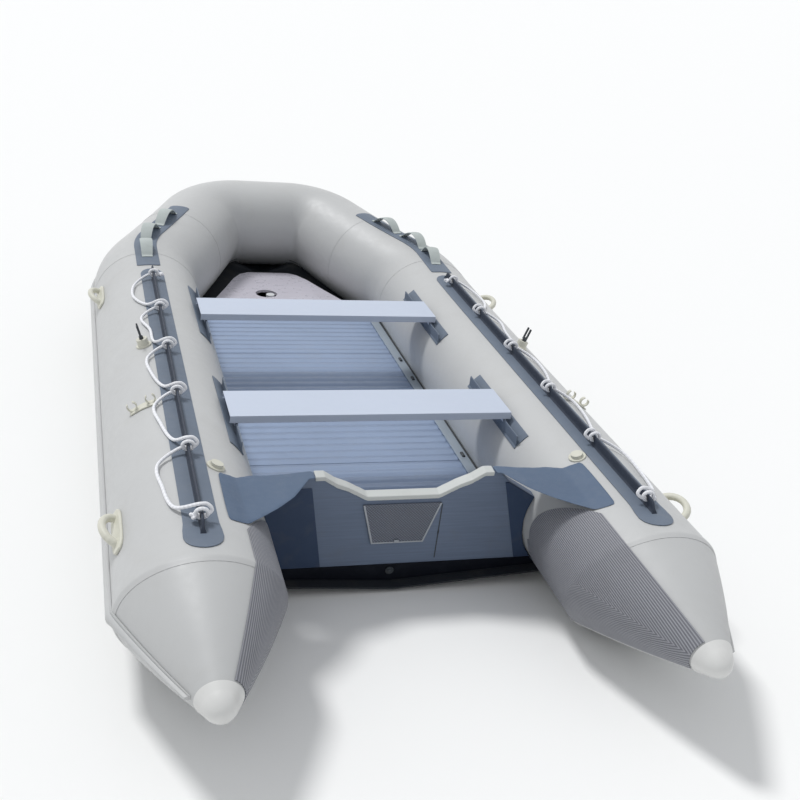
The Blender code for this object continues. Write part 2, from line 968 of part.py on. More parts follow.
def build_keel():
    """Inflated keel under the floor and the bow board, and its valve in the board's hole."""
    under_panels = panel_top - panel_thickness
    under_board = floor_height - board_thickness
    start = transom_station + transom_thickness + keel_aft_gap
    rings = [keel_ring(station, under_panels) for station in spread(start, board_start, keel_steps)]
    rings.append(keel_ring(board_start + keel_ramp, under_board))
    rings.append(keel_ring(keel_front_station, under_board, keel_nose_share))
    loft("keel_tube", rings, pvc_black)
    cylinder("keel_valve", keel_valve_radius, keel_valve_height, plastic_cream,
             (keel_valve_inset - valve_hole_offset, station_y(valve_hole_station - keel_valve_back),
              under_board + keel_valve_height / 2 + skin_gap))


# Transom


def transom_point(x, height, forward):
    """Point on the leaning board: across, up the board, and forward of its aft face."""
    tilt = math.atan(transom_rake)
    y = station_y(transom_station) + transom_rake * rake_height
    return Vector((x, y - height * math.sin(tilt) + forward * math.cos(tilt),
                   height * math.cos(tilt) + forward * math.sin(tilt)))


def on_transom(offset):
    """Place and turn of an outline that lies on the leaning board, offset aft of its aft face."""
    return transom_point(0.0, 0.0, -offset), (math.pi / 2 + math.atan(transom_rake), 0, 0)


def board_side(z):
    y = station_y(transom_station)
    lean = transom_thickness * transom_rake
    return min(tube_inner_x(z, y, board_side_gap), tube_inner_x(z + lean, y, board_side_gap))


def top_edge():
    """Board's top edge on one side, from the shoulder in to the notch."""
    inner = shoulder_half_width - shoulder_flat
    points = [(shoulder_half_width, shoulder_height)]
    for across, up in slope_shares:
        points.append((notch_half_width + (inner - notch_half_width) * across,
                       notch_height + (shoulder_height - notch_height) * up))
    return points


def both_sides(right):
    """An outline's starboard half and its mirror."""
    return right + [(-x, z) for x, z in reversed(right)]


def build_transom():
    low = keel_clearance + bottom_thickness + board_low_gap
    side_low = tube_radius * board_side_share
    side_high = tube_radius * board_top_share
    right = [(board_side(z), z) for z in spread(side_low, side_high, board_side_steps)]
    right.append((shoulder_half_width + shoulder_drop, shoulder_height - shoulder_drop))
    outline = [(0.0, low)] + both_sides(right + top_edge())
    place, turn = on_transom(-transom_thickness / 2)
    extrude_outline("transom_board", outline, transom_thickness, board_slate, place, turn)
    build_trim()
    build_band(low, side_low)
    build_holders(side_high)
    build_plates()


def build_trim():
    """Channel over the board's top edge between the two flaps."""
    end = shoulder_half_width - flap_grip - trim_end_gap
    right = [(end, shoulder_height)] + top_edge()[1:]
    fore = transom_thickness + skin_gap
    section = ((-skin_gap - trim_wall, -trim_lip), (-skin_gap - trim_wall, skin_gap + trim_top),
               (fore + trim_wall, skin_gap + trim_top), (fore + trim_wall, -trim_lip),
               (fore, -trim_lip), (fore, skin_gap), (-skin_gap, skin_gap), (-skin_gap, -trim_lip))
    rings = []
    for x, z in both_sides(right):
        rings.append([transom_point(x, z + up, forward) for forward, up in section])
    loft("transom_trim", rings, plastic_cream)


def build_band(low, side_low):
    """Black fabric band over the joint of board and hull bottom."""
    right = [(board_side(z) - band_margin, z) for z in spread(side_low, band_top_height, 2)]
    outline = [(0.0, low + band_margin)] + both_sides(right)
    place, turn = on_transom(skin_gap + band_thickness / 2)
    extrude_outline("transom_band", outline, band_thickness, pvc_black, place, turn)
    drain_height = band_top_height - drain_drop
    depth = skin_gap * 2 + band_thickness + drain_thickness
    drain = cylinder("drain_valve", drain_radius, drain_thickness, plastic_dark,
                     transom_point(drain_offset, drain_height, drain_thickness / 2 - depth), turn)
    boss = cylinder("drain_boss", drain_boss_radius, drain_thickness * 2, plastic_dark,
                    transom_point(drain_offset, drain_height, -depth), turn)
    join(drain, boss)


def build_holders(side_high):
    """Fabric flanges that hold the board's aft face to the tubes."""
    lines = {1: (holder_starboard_top, holder_starboard_low), -1: (holder_port_top, holder_port_low)}
    bottom = band_top_height + band_margin
    shoulder = (shoulder_half_width + shoulder_drop - band_margin, shoulder_height - shoulder_drop)
    for side, label in side_names.items():
        upper, lower = lines[side]
        steps = spread(bottom, side_high, board_side_steps // 2)
        points = [(side * (board_side(z) - band_margin), z) for z in steps]
        points.append((side * shoulder[0], shoulder[1] - band_margin))
        points.append((side * upper, min(holder_top_height, shoulder[1] - band_margin)))
        points.append((side * lower, bottom))
        place, turn = on_transom(skin_gap + band_thickness / 2)
        extrude_outline(label + "_transom_holder", points, band_thickness, pvc_slate, place, turn)


def plate_outline(inset, open_top):
    bottom = plate_bottom_half_width - inset
    top = plate_top_half_width - inset
    return both_sides([(bottom, plate_bottom_height + inset), (top, plate_top_height + open_top)])


def build_plates():
    """Motor plates on both faces. The outer one has a raised rim below and at the sides."""
    place, turn = on_transom(skin_gap + plate_thickness / 2)
    outer = extrude_outline("motor_plate_outer", plate_outline(0.0, 0.0), plate_thickness,
                            plastic_dark, place, turn)
    place, turn = on_transom(skin_gap + plate_thickness)
    pocket = extrude_outline("plate_pocket", plate_outline(plate_rim_width, plate_rim_width),
                             plate_rim_height * 2, plastic_dark, place, turn)
    cut(outer, pocket)
    place, turn = on_transom(-transom_thickness - plate_thickness / 2 - skin_gap)
    extrude_outline("motor_plate_inner", plate_outline(0.0, 0.0), plate_thickness, plastic_dark,
                    place, turn)


def build_flaps():
    """Fabric from the board's shoulders over the open corners to the tubes."""
    start = shoulder_half_width - flap_grip
    for side, label in side_names.items():
        aft_start = station_middle + transom_point(0, shoulder_height, -flap_overhang).y
        fore_start = station_middle + transom_point(0, shoulder_height, transom_thickness).y
        board_top = transom_point(0, shoulder_height + skin_gap, transom_thickness).z
        end = half_spacing + tube_radius * math.cos(flap_outer_angle)
        touch = Vector((half_spacing + tube_radius * math.cos(flap_touch_angle), 0.0))
        touch_share = (touch.x - start) / (end - start)
        touch_z = section_at(side, flap_fore_station).surface(flap_touch_angle, skin_lift).z
        grip_share = flap_grip / (end - start)
        rings = []
        for across, aft, fore in ((0.0, 0.0, 0.0), (grip_share, 0.0, 0.0)) + flap_row_shares:
            x = start + (end - start) * across
            reach = tube_radius + skin_lift
            if across <= grip_share:
                z = board_top
            elif across < touch_share:
                part = (across - grip_share) / (touch_share - grip_share)
                z = board_top + (touch_z - board_top) * part - flap_sag * math.sin(math.pi * part)
            else:
                z = tube_radius + math.sqrt(reach ** 2 - (half_spacing - x) ** 2)
            aft_y = station_y(aft_start + (flap_aft_station - aft_start) * aft)
            fore_y = station_y(fore_start + (flap_fore_station - fore_start) * fore)
            top = z + flap_thickness
            rings.append([(side * x, fore_y, z), (side * x, aft_y, z),
                          (side * x, aft_y, top), (side * x, fore_y, top)])
        loft(label + "_transom_flap", rings, pvc_slate)


# Floor, bow board, seats and rails


def rib_outline(length):
    """Side view of a panel: along the boat and up, with its raised ribs."""
    ribs = int(length / rib_pitch)
    outline = [(0.0, -panel_thickness), (length, -panel_thickness), (length, 0.0)]
    for rib in range(ribs - 1, -1, -1):
        centre = (rib + 0.5) * length / ribs
        outline.append((centre + rib_width / 2, 0.0))
        outline.append((centre + rib_width / 4, rib_height))
        outline.append((centre - rib_width / 4, rib_height))
        outline.append((centre - rib_width / 2, 0.0))
    outline.append((0.0, 0.0))
    return outline


def build_floor():
    start_y = station_y(panel_start_station)
    length = panel_pitch - panel_gap
    top = floor_height + stringer_stand
    outer = tube_inner_x(top, start_y, stringer_tube_gap)
    panel_half = outer - stringer_width - skin_gap
    for number in range(panel_count):
        extrude_outline("floor_panel_" + str(number + 1), rib_outline(length), panel_half * 2,
                        aluminium, (0, start_y + number * panel_pitch, panel_top),
                        (math.pi / 2, 0, math.pi / 2))
    span = panel_pitch * panel_count - panel_gap
    lip_low = floor_height + rest_gap - top
    for side, label in side_names.items():
        inner = -side * stringer_width / 2
        lap = -side * (stringer_width / 2 + stringer_lap)
        outline = [(inner, -stringer_height), (-inner, -stringer_height), (-inner, 0.0),
                   (lap, 0.0), (lap, lip_low), (inner, lip_low)]
        extrude_outline(label + "_floor_stringer", outline, span, aluminium,
                        (side * (outer - stringer_width / 2), start_y + span / 2, top),
                        (math.pi / 2, 0, 0))
    build_bow_board()


def build_bow_board():
    right = []
    for across, along in board_shares:
        right.append((board_half_width * across, station_y(board_start + board_length * along)))
    board = extrude_outline("bow_board", both_sides(right), board_thickness, board_pale,
                            (0, 0, floor_height - board_thickness / 2))
    hole = cylinder("valve_hole", valve_hole_radius, board_thickness * 2, board_pale,
                    (-valve_hole_offset, station_y(valve_hole_station), floor_height),
                    sides=valve_hole_sides)
    cut(board, hole)


def seat_outline(width):
    """End view of a seat: a channel with lips along its lower edges."""
    half = width / 2
    wall = seat_wall
    low = -seat_thickness
    return [(-half, low), (-half + seat_lip, low), (-half + seat_lip, low + wall),
            (-half + wall, low + wall), (-half + wall, -wall), (half - wall, -wall),
            (half - wall, low + wall), (half - seat_lip, low + wall), (half - seat_lip, low),
            (half, low), (half, 0.0), (-half, 0.0)]


def build_seats():
    low = seat_height - seat_thickness - guide_depth
    high = seat_height - seat_wall / 2
    for label, station, width in (("aft", seat_aft_station, seat_aft_width),
                                  ("forward", seat_forward_station, seat_forward_width)):
        y = station_y(station)
        name = "thwart_" + label
        seat = extrude_outline(name, seat_outline(width), seat_half_length * 2, aluminium_pale,
                               (0, y, seat_height), (math.pi / 2, 0, math.pi / 2))
        for side in (-1, 1):
            for lean in (-1, 1):
                reach = rail_web_thickness / 2 + guide_gap + guide_wall / 2
                place = (side * (rail_web_offset + lean * reach), y, (low + high) / 2)
                guide = block(name + "_guide", (guide_wall, width - seat_wall, high - low),
                              aluminium_pale, place)
                join(seat, guide)


def rail_ring(section, side, top):
    """Section of a rail: a patch on the tube and an upright web under the seat."""
    base = skin_lift + skin_thickness
    middle = rail_web_angle - rail_base_lead
    half = rail_base_width / 2 / tube_radius
    angles = spread(middle - half, middle + half, steps_across(half * 2))
    lower = profile_ring(section, side, [(turn, skin_lift) for turn in angles])
    upper = profile_ring(section, side, [(turn, base) for turn in angles])
    inner = rail_web_offset - rail_web_thickness / 2
    outer = rail_web_offset + rail_web_thickness / 2
    feet = []
    for x in (inner, outer):
        across = abs(section.centre.x) - x
        z = section.centre.z + math.sqrt((section.radius + base) ** 2 - across ** 2)
        feet.append(Vector((side * x, section.centre.y, z)))
    web = [feet[0], Vector((feet[0].x, feet[0].y, top)), Vector((feet[1].x, feet[1].y, top)), feet[1]]
    past = [point for point in upper if abs(point.x) < inner - rail_web_thickness / 2]
    before = [point for point in upper if abs(point.x) > outer + rail_web_thickness / 2]
    return lower + list(reversed(past)) + web + list(reversed(before))


def build_rails():
    top = seat_height - seat_thickness - rest_gap
    for place, start, end in (("aft", rail_aft_start, rail_aft_end),
                              ("forward", rail_forward_start, rail_forward_end)):
        for side, label in side_names.items():
            rings = [rail_ring(section, side, top) for section in between(side, start, end)]
            loft(label + "_rail_" + place, rings, pvc_slate)


# Strakes, wear patches and fittings on the tubes


def build_strakes():
    half = strake_width / 2 / tube_radius
    base_count = steps_across(half * 2)
    profile = [(turn, skin_lift) for turn in spread(-half, half, base_count)]
    for across, up in strake_profile_shares:
        profile.append((half * 2 * across, skin_lift + strake_height * up))
    for side, label in side_names.items():
        rows = cone_rows(side, strake_aft_share) + sections[side][1:]
        rings = [profile_ring(section, side, profile) for section in rows]
        back = sections[side][-1].tangent * (skin_gap / 2)
        rings[-1] = [point - back for point in rings[-1]]
        loft(label + "_rub_strake", rings, pvc_grey)


def build_wear_patches():
    outer = Vector((wear_cut_outer, station_y(wear_cut_outer_station)))
    inner = Vector((wear_cut_inner, station_y(wear_cut_inner_station)))
    along = (inner - outer) * wear_cut_reach
    ahead = Vector((0.0, tube_radius * 2))
    corners = [outer - along, inner + along, inner + along + ahead, outer - along + ahead]
    for side, label in side_names.items():
        rows = []
        for section in cone_rows(side, wear_aft_share) + [section_at(side, wear_front_station)]:
            rows.append((section, wear_start_angle, wear_end_angle))
        patch = skin(label + "_wear_patch", side, rows, skin_thickness, plastic_dark)
        outline = [(side * point.x, point.y) for point in corners]
        cutter = extrude_outline(label + "_wear_cut", outline, tube_radius * 4, plastic_dark)
        cut(patch, cutter)


def facet_angle(angle):
    """The middle of the tube's facet nearest to an angle."""
    step = 2 * math.pi / tube_sides
    return (math.floor(angle / step) + 0.5) * step


def facet_spot(side, station, angle, height):
    """Point above the middle of a facet, measured from the facet's own face."""
    here = section_at(side, station)
    drop = here.radius * (1 - math.cos(math.pi / tube_sides))
    return here.surface(outboard_angle(side, facet_angle(angle)), height - drop)


def facet_axes(side, station, angle):
    """Directions across, along and out of a facet."""
    here = section_at(side, station)
    out = (facet_spot(side, station, angle, 0.0) - here.centre).normalized()
    across = here.tangent.cross(out).normalized()
    return across, here.tangent, out


def upright_turn(side, station, angle):
    """Rotation that stands +Z off a facet with +Y along the boat."""
    return Matrix(facet_axes(side, station, angle)).transposed().to_euler()


def stand_cylinder(name, radius, depth, mat, side, station, angle, lift=0.0):
    place = facet_spot(side, station, angle, skin_gap + lift + depth / 2)
    return cylinder(name, radius, depth, mat, place, upright_turn(side, station, angle))


def build_valves():
    for side, label in side_names.items():
        valve = stand_cylinder(label + "_valve", valve_radius, valve_flange, plastic_cream, side,
                               valve_station, valve_angle)
        cap = stand_cylinder(label + "_valve_cap", valve_cap_radius, valve_cap_height, plastic_cream,
                             side, valve_station, valve_angle, valve_flange / 2)
        join(valve, cap)


def build_oarlocks():
    yoke_low = oarlock_boss_height + yoke_stand
    for side, label in side_names.items():
        spotted = (side, oarlock_station, oarlock_angle)
        base = stand_cylinder(label + "_oarlock_base", oarlock_flange_radius, oarlock_flange,
                              rubber_light, *spotted)
        boss = stand_cylinder(label + "_oarlock_boss", oarlock_boss_radius,
                              oarlock_boss_height - oarlock_flange / 2, rubber_light, *spotted,
                              oarlock_flange / 2)
        join(base, boss)
        hole = stand_cylinder(label + "_oarlock_hole", pin_radius + pin_clearance,
                              oarlock_boss_height, rubber_light, *spotted, oarlock_floor)
        cut(base, hole)
        reach = yoke_low + yoke_foot / 2 - oarlock_floor - pin_clearance
        pin = stand_cylinder(label + "_oarlock_pin", pin_radius, reach, aluminium, *spotted,
                             oarlock_floor + pin_clearance)
        across, along, out = facet_axes(*spotted)
        turn = Matrix((along, out, along.cross(out))).transposed().to_euler()
        place = facet_spot(*spotted, skin_gap + yoke_low)
        right = [(yoke_width / 2, 0.0), (yoke_width / 2, yoke_length), (yoke_slot / 2, yoke_length),
                 (yoke_slot / 2, yoke_foot)]
        yoke = extrude_outline(label + "_oarlock_yoke", both_sides(right), yoke_thickness,
                               aluminium, place, turn)
        join(pin, yoke)


def cup_outline():
    """Open ring that grips an oar, its opening outwards."""
    first = math.pi / 2 + clip_opening / 2
    last = math.pi * 5 / 2 - clip_opening / 2
    turns = spread(first, last, clip_arc_steps)
    outer = [(clip_ring_radius * math.cos(turn), clip_ring_radius * math.sin(turn)) for turn in turns]
    bore = clip_ring_radius - clip_ring_wall
    return outer + [(bore * math.cos(turn), bore * math.sin(turn)) for turn in reversed(turns)]


def build_clips():
    for side, label in side_names.items():
        half = clip_length / 2 / tube_radius
        rows = []
        for lean in (-1, 1):
            here = section_at(side, clip_station + lean * clip_width / 2)
            rows.append((here, clip_angle - half, clip_angle + half))
        clip = skin(label + "_oar_clip", side, rows, clip_pad, rubber_light)
        for lean in (-1, 1):
            angle = clip_angle + lean * clip_ring_spread / tube_radius
            here = section_at(side, clip_station)
            turned = outboard_angle(side, angle)
            height = skin_lift + clip_pad / 2 + clip_ring_radius
            middle = here.surface(turned, height)
            out = (middle - here.centre).normalized()
            across = here.tangent.cross(out).normalized()
            turn = Matrix((across, out, across.cross(out))).transposed().to_euler()
            cup = extrude_outline(label + "_clip_cup", cup_outline(), clip_ring_width, rubber_light,
                                  middle, turn)
            join(clip, cup)


def build_handles():
    """Moulded grab handles: a pad on the tube and a bar bent out and back."""
    for side, label in side_names.items():
        for place, station in (("forward", handle_forward_station), ("aft", handle_aft_station)):
            name = label + "_handle_" + place
            rows = stadium_rows(side, station, handle_angle, handle_length, handle_width)
            pad = skin(name, side, rows, handle_pad, rubber_light)
            points = []
            for turn in spread(0.0, math.pi, handle_steps):
                along = -math.cos(turn) * handle_length * handle_span_share / 2
                height = skin_lift + handle_pad / 2 + handle_reach * math.sin(turn)
                points.append(spot(side, station + along, handle_angle, height))
            bar = tube_curve(name + "_bar", points, handle_bar_radius, rubber_light)
            join(pad, bar)


def strap_rings(side, station):
    """Sections of one webbing arch, foot to foot along the tube."""
    rings = []
    base = skin_lift + skin_thickness / 2
    turned = outboard_angle(side, carry_angle)
    path = []
    for share in spread(0.0, 1.0, loop_steps):
        height = base + loop_height * math.sin(math.pi * share)
        here = section_at(side, station + loop_length * (share - 0.5))
        path.append((here, here.surface(turned, height)))
    for i, (here, middle) in enumerate(path):
        ahead = path[min(i + 1, loop_steps)][1] - path[max(i - 1, 0)][1]
        out = (middle - here.centre).normalized()
        across = here.tangent.cross(out).normalized()
        up = across.cross(ahead).normalized() * loop_thickness / 2
        wide = across * loop_width / 2
        rings.append([middle + wide + up, middle - wide + up, middle - wide - up, middle + wide - up])
    return rings


def build_carry_handles():
    half = carry_width / 2 / tube_radius
    for side, label in side_names.items():
        rows = []
        for section in between(side, carry_start_station, carry_end_station):
            rows.append((section, carry_angle - half, carry_angle + half))
        patch = skin(label + "_carry_handle", side, rows, skin_thickness, pvc_slate)
        for number in range(carry_loops):
            station = loop_start_station + loop_pitch * number
            loop = loft(label + "_carry_loop_" + str(number), strap_rings(side, station), pvc_slate)
            join(patch, loop)


build_tubes()
build_cones()
build_strips()
build_lifelines()
build_bottom()
build_keel()
build_transom()
build_flaps()
build_floor()
build_seats()
build_rails()
build_strakes()
build_wear_patches()
build_valves()
build_oarlocks()
build_clips()
build_handles()
build_carry_handles()
for solid in boat.objects:
    solid.data.set_sharp_from_angle(angle=sharp_angle)
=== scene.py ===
import bpy
import math
from mathutils import Vector, Matrix


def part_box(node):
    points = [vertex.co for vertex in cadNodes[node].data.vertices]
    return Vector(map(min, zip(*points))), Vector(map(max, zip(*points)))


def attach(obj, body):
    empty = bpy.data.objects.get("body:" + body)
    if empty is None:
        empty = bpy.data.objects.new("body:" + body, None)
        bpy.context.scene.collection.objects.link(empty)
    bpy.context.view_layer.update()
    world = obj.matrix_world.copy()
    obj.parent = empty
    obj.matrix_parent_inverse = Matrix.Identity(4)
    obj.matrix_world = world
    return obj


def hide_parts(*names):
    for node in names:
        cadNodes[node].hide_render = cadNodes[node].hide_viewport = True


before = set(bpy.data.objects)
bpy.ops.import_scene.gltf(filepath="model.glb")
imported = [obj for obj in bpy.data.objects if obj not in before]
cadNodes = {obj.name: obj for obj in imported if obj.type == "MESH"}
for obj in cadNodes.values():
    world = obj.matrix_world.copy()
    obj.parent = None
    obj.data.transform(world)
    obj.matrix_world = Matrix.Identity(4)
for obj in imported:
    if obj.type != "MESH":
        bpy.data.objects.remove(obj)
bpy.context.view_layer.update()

# Camera: 49.5 mm lens behind and above the stern, on the port side
cameraSetup = {
    "place": (-0.9859, -4.0377, 2.0483),
    "yaw": 0.3163,
    "pitch": 0.4265,
    "roll": 0.1246,
    "lens": 49.5,
    "sensor": 36,
}


def addCamera(setup):
    yaw = setup["yaw"]
    pitch = setup["pitch"]
    roll = setup["roll"]
    ahead = Vector((math.sin(yaw) * math.cos(pitch), math.cos(yaw) * math.cos(pitch),
                    -math.sin(pitch)))
    right = Vector((math.cos(yaw), -math.sin(yaw), 0))
    up = right.cross(ahead)
    turnedRight = right * math.cos(roll) + up * math.sin(roll)
    turnedUp = up * math.cos(roll) - right * math.sin(roll)
    cameraData = bpy.data.cameras.new("photoCamera")
    cameraData.lens = setup["lens"]
    cameraData.sensor_width = setup["sensor"]
    camera = bpy.data.objects.new("photoCamera", cameraData)
    bpy.context.scene.collection.objects.link(camera)
    camera.matrix_world = Matrix.Translation(setup["place"]) @ Matrix(
        (turnedRight, turnedUp, -ahead)).transposed().to_4x4()
    bpy.context.scene.camera = camera


addCamera(cameraSetup)
print("camera placed")


# Small helpers for selecting, shaping and finishing a piece

def addObject(name, data):
    made = bpy.data.objects.new(name, data)
    bpy.context.scene.collection.objects.link(made)
    return made


def deselectAll():
    if bpy.context.mode != "OBJECT":
        bpy.ops.object.mode_set(mode="OBJECT")
    bpy.ops.object.select_all(action="DESELECT")


def choose(piece):
    deselectAll()
    piece.select_set(True)
    bpy.context.view_layer.objects.active = piece


def editAll(piece):
    choose(piece)
    bpy.ops.object.mode_set(mode="EDIT")
    bpy.ops.mesh.select_all(action="SELECT")


def leaveEdit():
    bpy.ops.object.mode_set(mode="OBJECT")


def mergePoints(piece, merge=0.00002):
    editAll(piece)
    bpy.ops.mesh.remove_doubles(threshold=merge)
    leaveEdit()


def closeShell(piece, merge=0.00002):
    # merge the seam, fill the open ends and turn every face outwards
    editAll(piece)
    bpy.ops.mesh.remove_doubles(threshold=merge)
    bpy.ops.mesh.select_all(action="DESELECT")
    bpy.ops.mesh.select_mode(type="EDGE")
    bpy.ops.mesh.select_non_manifold()
    bpy.ops.mesh.fill_holes(sides=0)
    bpy.ops.mesh.select_mode(type="VERT")
    bpy.ops.mesh.select_all(action="SELECT")
    bpy.ops.mesh.normals_make_consistent(inside=False)
    leaveEdit()


def addModifier(piece, kind, **values):
    choose(piece)
    modifier = piece.modifiers.new(kind.lower(), kind)
    for name, value in values.items():
        setattr(modifier, name, value)
    bpy.ops.object.modifier_apply(modifier=modifier.name)


def joinPieces(pieces, name):
    deselectAll()
    for piece in pieces:
        piece.select_set(True)
    bpy.context.view_layer.objects.active = pieces[0]
    bpy.ops.object.join()
    pieces[0].name = name
    pieces[0].data.name = name
    return pieces[0]


def mirrorPiece(piece, name):
    twin = addObject(name, piece.data.copy())
    editAll(twin)
    bpy.ops.transform.resize(value=(-1, 1, 1), center_override=(0, 0, 0))
    bpy.ops.mesh.flip_normals()
    leaveEdit()
    return twin


def finishPiece(piece, finish, body="hull", replaced=(), slot=None, smoothAngle=35):
    choose(piece)
    bpy.ops.object.transform_apply(location=True, rotation=True, scale=True)
    bpy.ops.object.shade_smooth_by_angle(angle=math.radians(smoothAngle))
    piece.data.materials.clear()
    piece.data.materials.append(finishes[finish])
    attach(piece, body)
    if replaced:
        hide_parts(*replaced)
    deselectAll()


def bothSides(piece, label, finish, replaced=(), slot=None, smoothAngle=35):
    # the starboard piece and its mirror image to port
    piece.name = "starboard" + label
    choose(piece)
    bpy.ops.object.transform_apply(location=True, rotation=True, scale=True)
    twin = mirrorPiece(piece, "port" + label)
    for side, one in (("starboard", piece), ("port", twin)):
        gone = [side + "_" + node for node in replaced]
        finishPiece(one, finish, "hull", gone, slot, smoothAngle)


# The tubes' centre line, from the stern to the middle of the bow, on the starboard side

hullShape = {
    "length": 4.0925,
    "halfSpacing": 0.665,
    "radius": 0.235,
    "bowRadius": 0.2245,
    "kneeStation": 3.034,
    "kneeBend": 0.50,
    "cornerStation": 3.8525,
    "cornerHalfWidth": 0.2935,
    "cornerBend": 0.26,
    "riseStart": 2.0,
    "rise": 0.105,
    "risePower": 3,
    "sampleStep": 0.05,
    "kneeSteps": 12,
    "cornerSteps": 22,
}


def worldY(station):
    return station - hullShape["length"] / 2


def planPath(shape):
    half = shape["halfSpacing"]
    knee = Vector((half, shape["kneeStation"]))
    corner = Vector((shape["cornerHalfWidth"], shape["cornerStation"]))
    corners = [Vector((half, 0)), knee, corner, Vector((0, shape["cornerStation"]))]
    plan = [corners[0]]
    bends = ((0, shape["kneeBend"], shape["kneeSteps"]),
             (1, shape["cornerBend"], shape["cornerSteps"]))
    for first, bend, steps in bends:
        before, here, after = corners[first:first + 3]
        into = (here - before).normalized()
        out = (after - here).normalized()
        angle = into.angle(out)
        heading = math.atan2(into.y, into.x)
        place = here - into * bend * math.tan(angle / 2)
        plan.append(place)
        chord = 2 * bend * math.sin(angle / steps / 2)
        for step in range(steps):
            turned = heading + angle * (step + 0.5) / steps
            place = place + Vector((math.cos(turned), math.sin(turned))) * chord
            plan.append(place)
    plan.append(corners[3])
    fine = [plan[0]]
    for start, end in zip(plan, plan[1:]):
        count = max(1, math.ceil((end - start).length / shape["sampleStep"]))
        fine += [start.lerp(end, (step + 1) / count) for step in range(count)]
    return fine


def centreLine(shape):
    plan = planPath(shape)
    points = []
    for place in plan:
        climb = (place.y - shape["riseStart"]) / (shape["cornerStation"] - shape["riseStart"])
        height = shape["radius"] + shape["rise"] * max(0, climb) ** shape["risePower"]
        points.append(Vector((place.x, worldY(place.y), height)))
    samples = []
    run = 0
    for number, point in enumerate(points):
        ahead = points[min(number + 1, len(points) - 1)] - points[max(number - 1, 0)]
        if number == len(points) - 1:
            ahead = Vector((-1, 0, 0))
        ahead.normalize()
        outboard = Vector((ahead.y, -ahead.x, 0)).normalized()
        up = outboard.cross(ahead).normalized()
        station = plan[number].y
        taper = (station - shape["kneeStation"]) / (shape["cornerStation"] - shape["kneeStation"])
        taper = min(1, max(0, taper))
        radius = shape["radius"] + (shape["bowRadius"] - shape["radius"]) * taper
        if number:
            run += (plan[number] - plan[number - 1]).length
        samples.append({"point": point, "outboard": outboard, "up": up, "radius": radius,
                        "station": station, "run": run, "ahead": ahead})
    return samples


line = centreLine(hullShape)
bowRun = line[-1]["run"]


def lineAt(value, key="station"):
    # a place along the centre line, by its station or by the length run along it
    for low, high in zip(line, line[1:]):
        if value <= high[key] or high is line[-1]:
            span = high[key] - low[key]
            share = (value - low[key]) / span if span > 1e-9 else 0
            share = min(1, share)
            found = {}
            for name in ("point", "outboard", "up", "ahead"):
                found[name] = low[name].lerp(high[name], share)
            for name in ("outboard", "up", "ahead"):
                found[name].normalize()
            for name in ("radius", "station", "run"):
                found[name] = low[name] + (high[name] - low[name]) * share
            return found


def onTube(value, angle, lift=0.0, key="station"):
    # angle in degrees: 0 outboard, 90 crown, 180 inboard
    here = lineAt(value, key)
    turned = math.radians(angle)
    out = here["outboard"] * math.cos(turned) + here["up"] * math.sin(turned)
    return here["point"] + out * (here["radius"] + lift)


def wrapGrid(name, across, along, place):
    # a grid whose points are laid on the surface that place(u, v) gives
    deselectAll()
    bpy.ops.mesh.primitive_grid_add(x_subdivisions=across, y_subdivisions=along, size=1)
    piece = bpy.context.object
    piece.name = name
    piece.data.name = name
    for vert in piece.data.vertices:
        vert.co = place(vert.co.x + 0.5, vert.co.y + 0.5)
    return piece


def shellSides(label, across, along, place, *finishing):
    # a closed shell on the starboard side and its mirror image
    piece = wrapGrid("starboard" + label, across, along, place)
    closeShell(piece)
    bothSides(piece, label, *finishing)


def setUv(piece, place):
    # repaints the UV map from each point's own place on the surface
    layer = piece.data.uv_layers.active.data
    for loop in piece.data.loops:
        u, v = layer[loop.index].uv
        layer[loop.index].uv = place(u, v)


def patch(name, across, along, place, thickness, bevel=0.0):
    # a sheet of fabric glued on: a wrapped grid, thickened outwards, with its edge softened
    piece = wrapGrid(name, across, along, place)
    addModifier(piece, "SOLIDIFY", thickness=thickness, offset=1)
    if bevel:
        addModifier(piece, "BEVEL", width=bevel, segments=2, limit_method="ANGLE",
                    angle_limit=math.radians(50))
    return piece


# Shared shader groups

def srgb(red, green, blue):
    def linear(value):
        share = value / 255
        return share / 12.92 if share <= 0.04045 else ((share + 0.055) / 1.055) ** 2.4
    return (linear(red), linear(green), linear(blue), 1)


def newGroup(name, inputs, outputs):
    group = bpy.data.node_groups.new(name, "ShaderNodeTree")
    for label, kind, value in inputs:
        socket = group.interface.new_socket(name=label, in_out="INPUT",
                                            socket_type="NodeSocket" + kind)
        if value is not None:
            socket.default_value = value
    for label, kind in outputs:
        group.interface.new_socket(name=label, in_out="OUTPUT",
                                   socket_type="NodeSocket" + kind)
    enter = group.nodes.new("NodeGroupInput")
    leave = group.nodes.new("NodeGroupOutput")
    return group, enter, leave


def addNode(tree, kind, links=None, **values):
    made = tree.nodes.new("ShaderNode" + kind)
    for name, value in values.items():
        if name in made.inputs:
            made.inputs[name].default_value = value
        else:
            setattr(made, name, value)
    for name, source in (links or {}).items():
        tree.links.new(source, made.inputs[name])
    return made


def math2(tree, operation, first, second=None, clamp=False):
    made = tree.nodes.new("ShaderNodeMath")
    made.operation = operation
    made.use_clamp = clamp
    for number, value in enumerate((first, second)):
        if value is None:
            continue
        if isinstance(value, (int, float)):
            made.inputs[number].default_value = value
        else:
            tree.links.new(value, made.inputs[number])
    return made.outputs[0]


def plus(tree, first, second, clamp=False):
    return math2(tree, "ADD", first, second, clamp)


def times(tree, first, second, clamp=False):
    return math2(tree, "MULTIPLY", first, second, clamp)


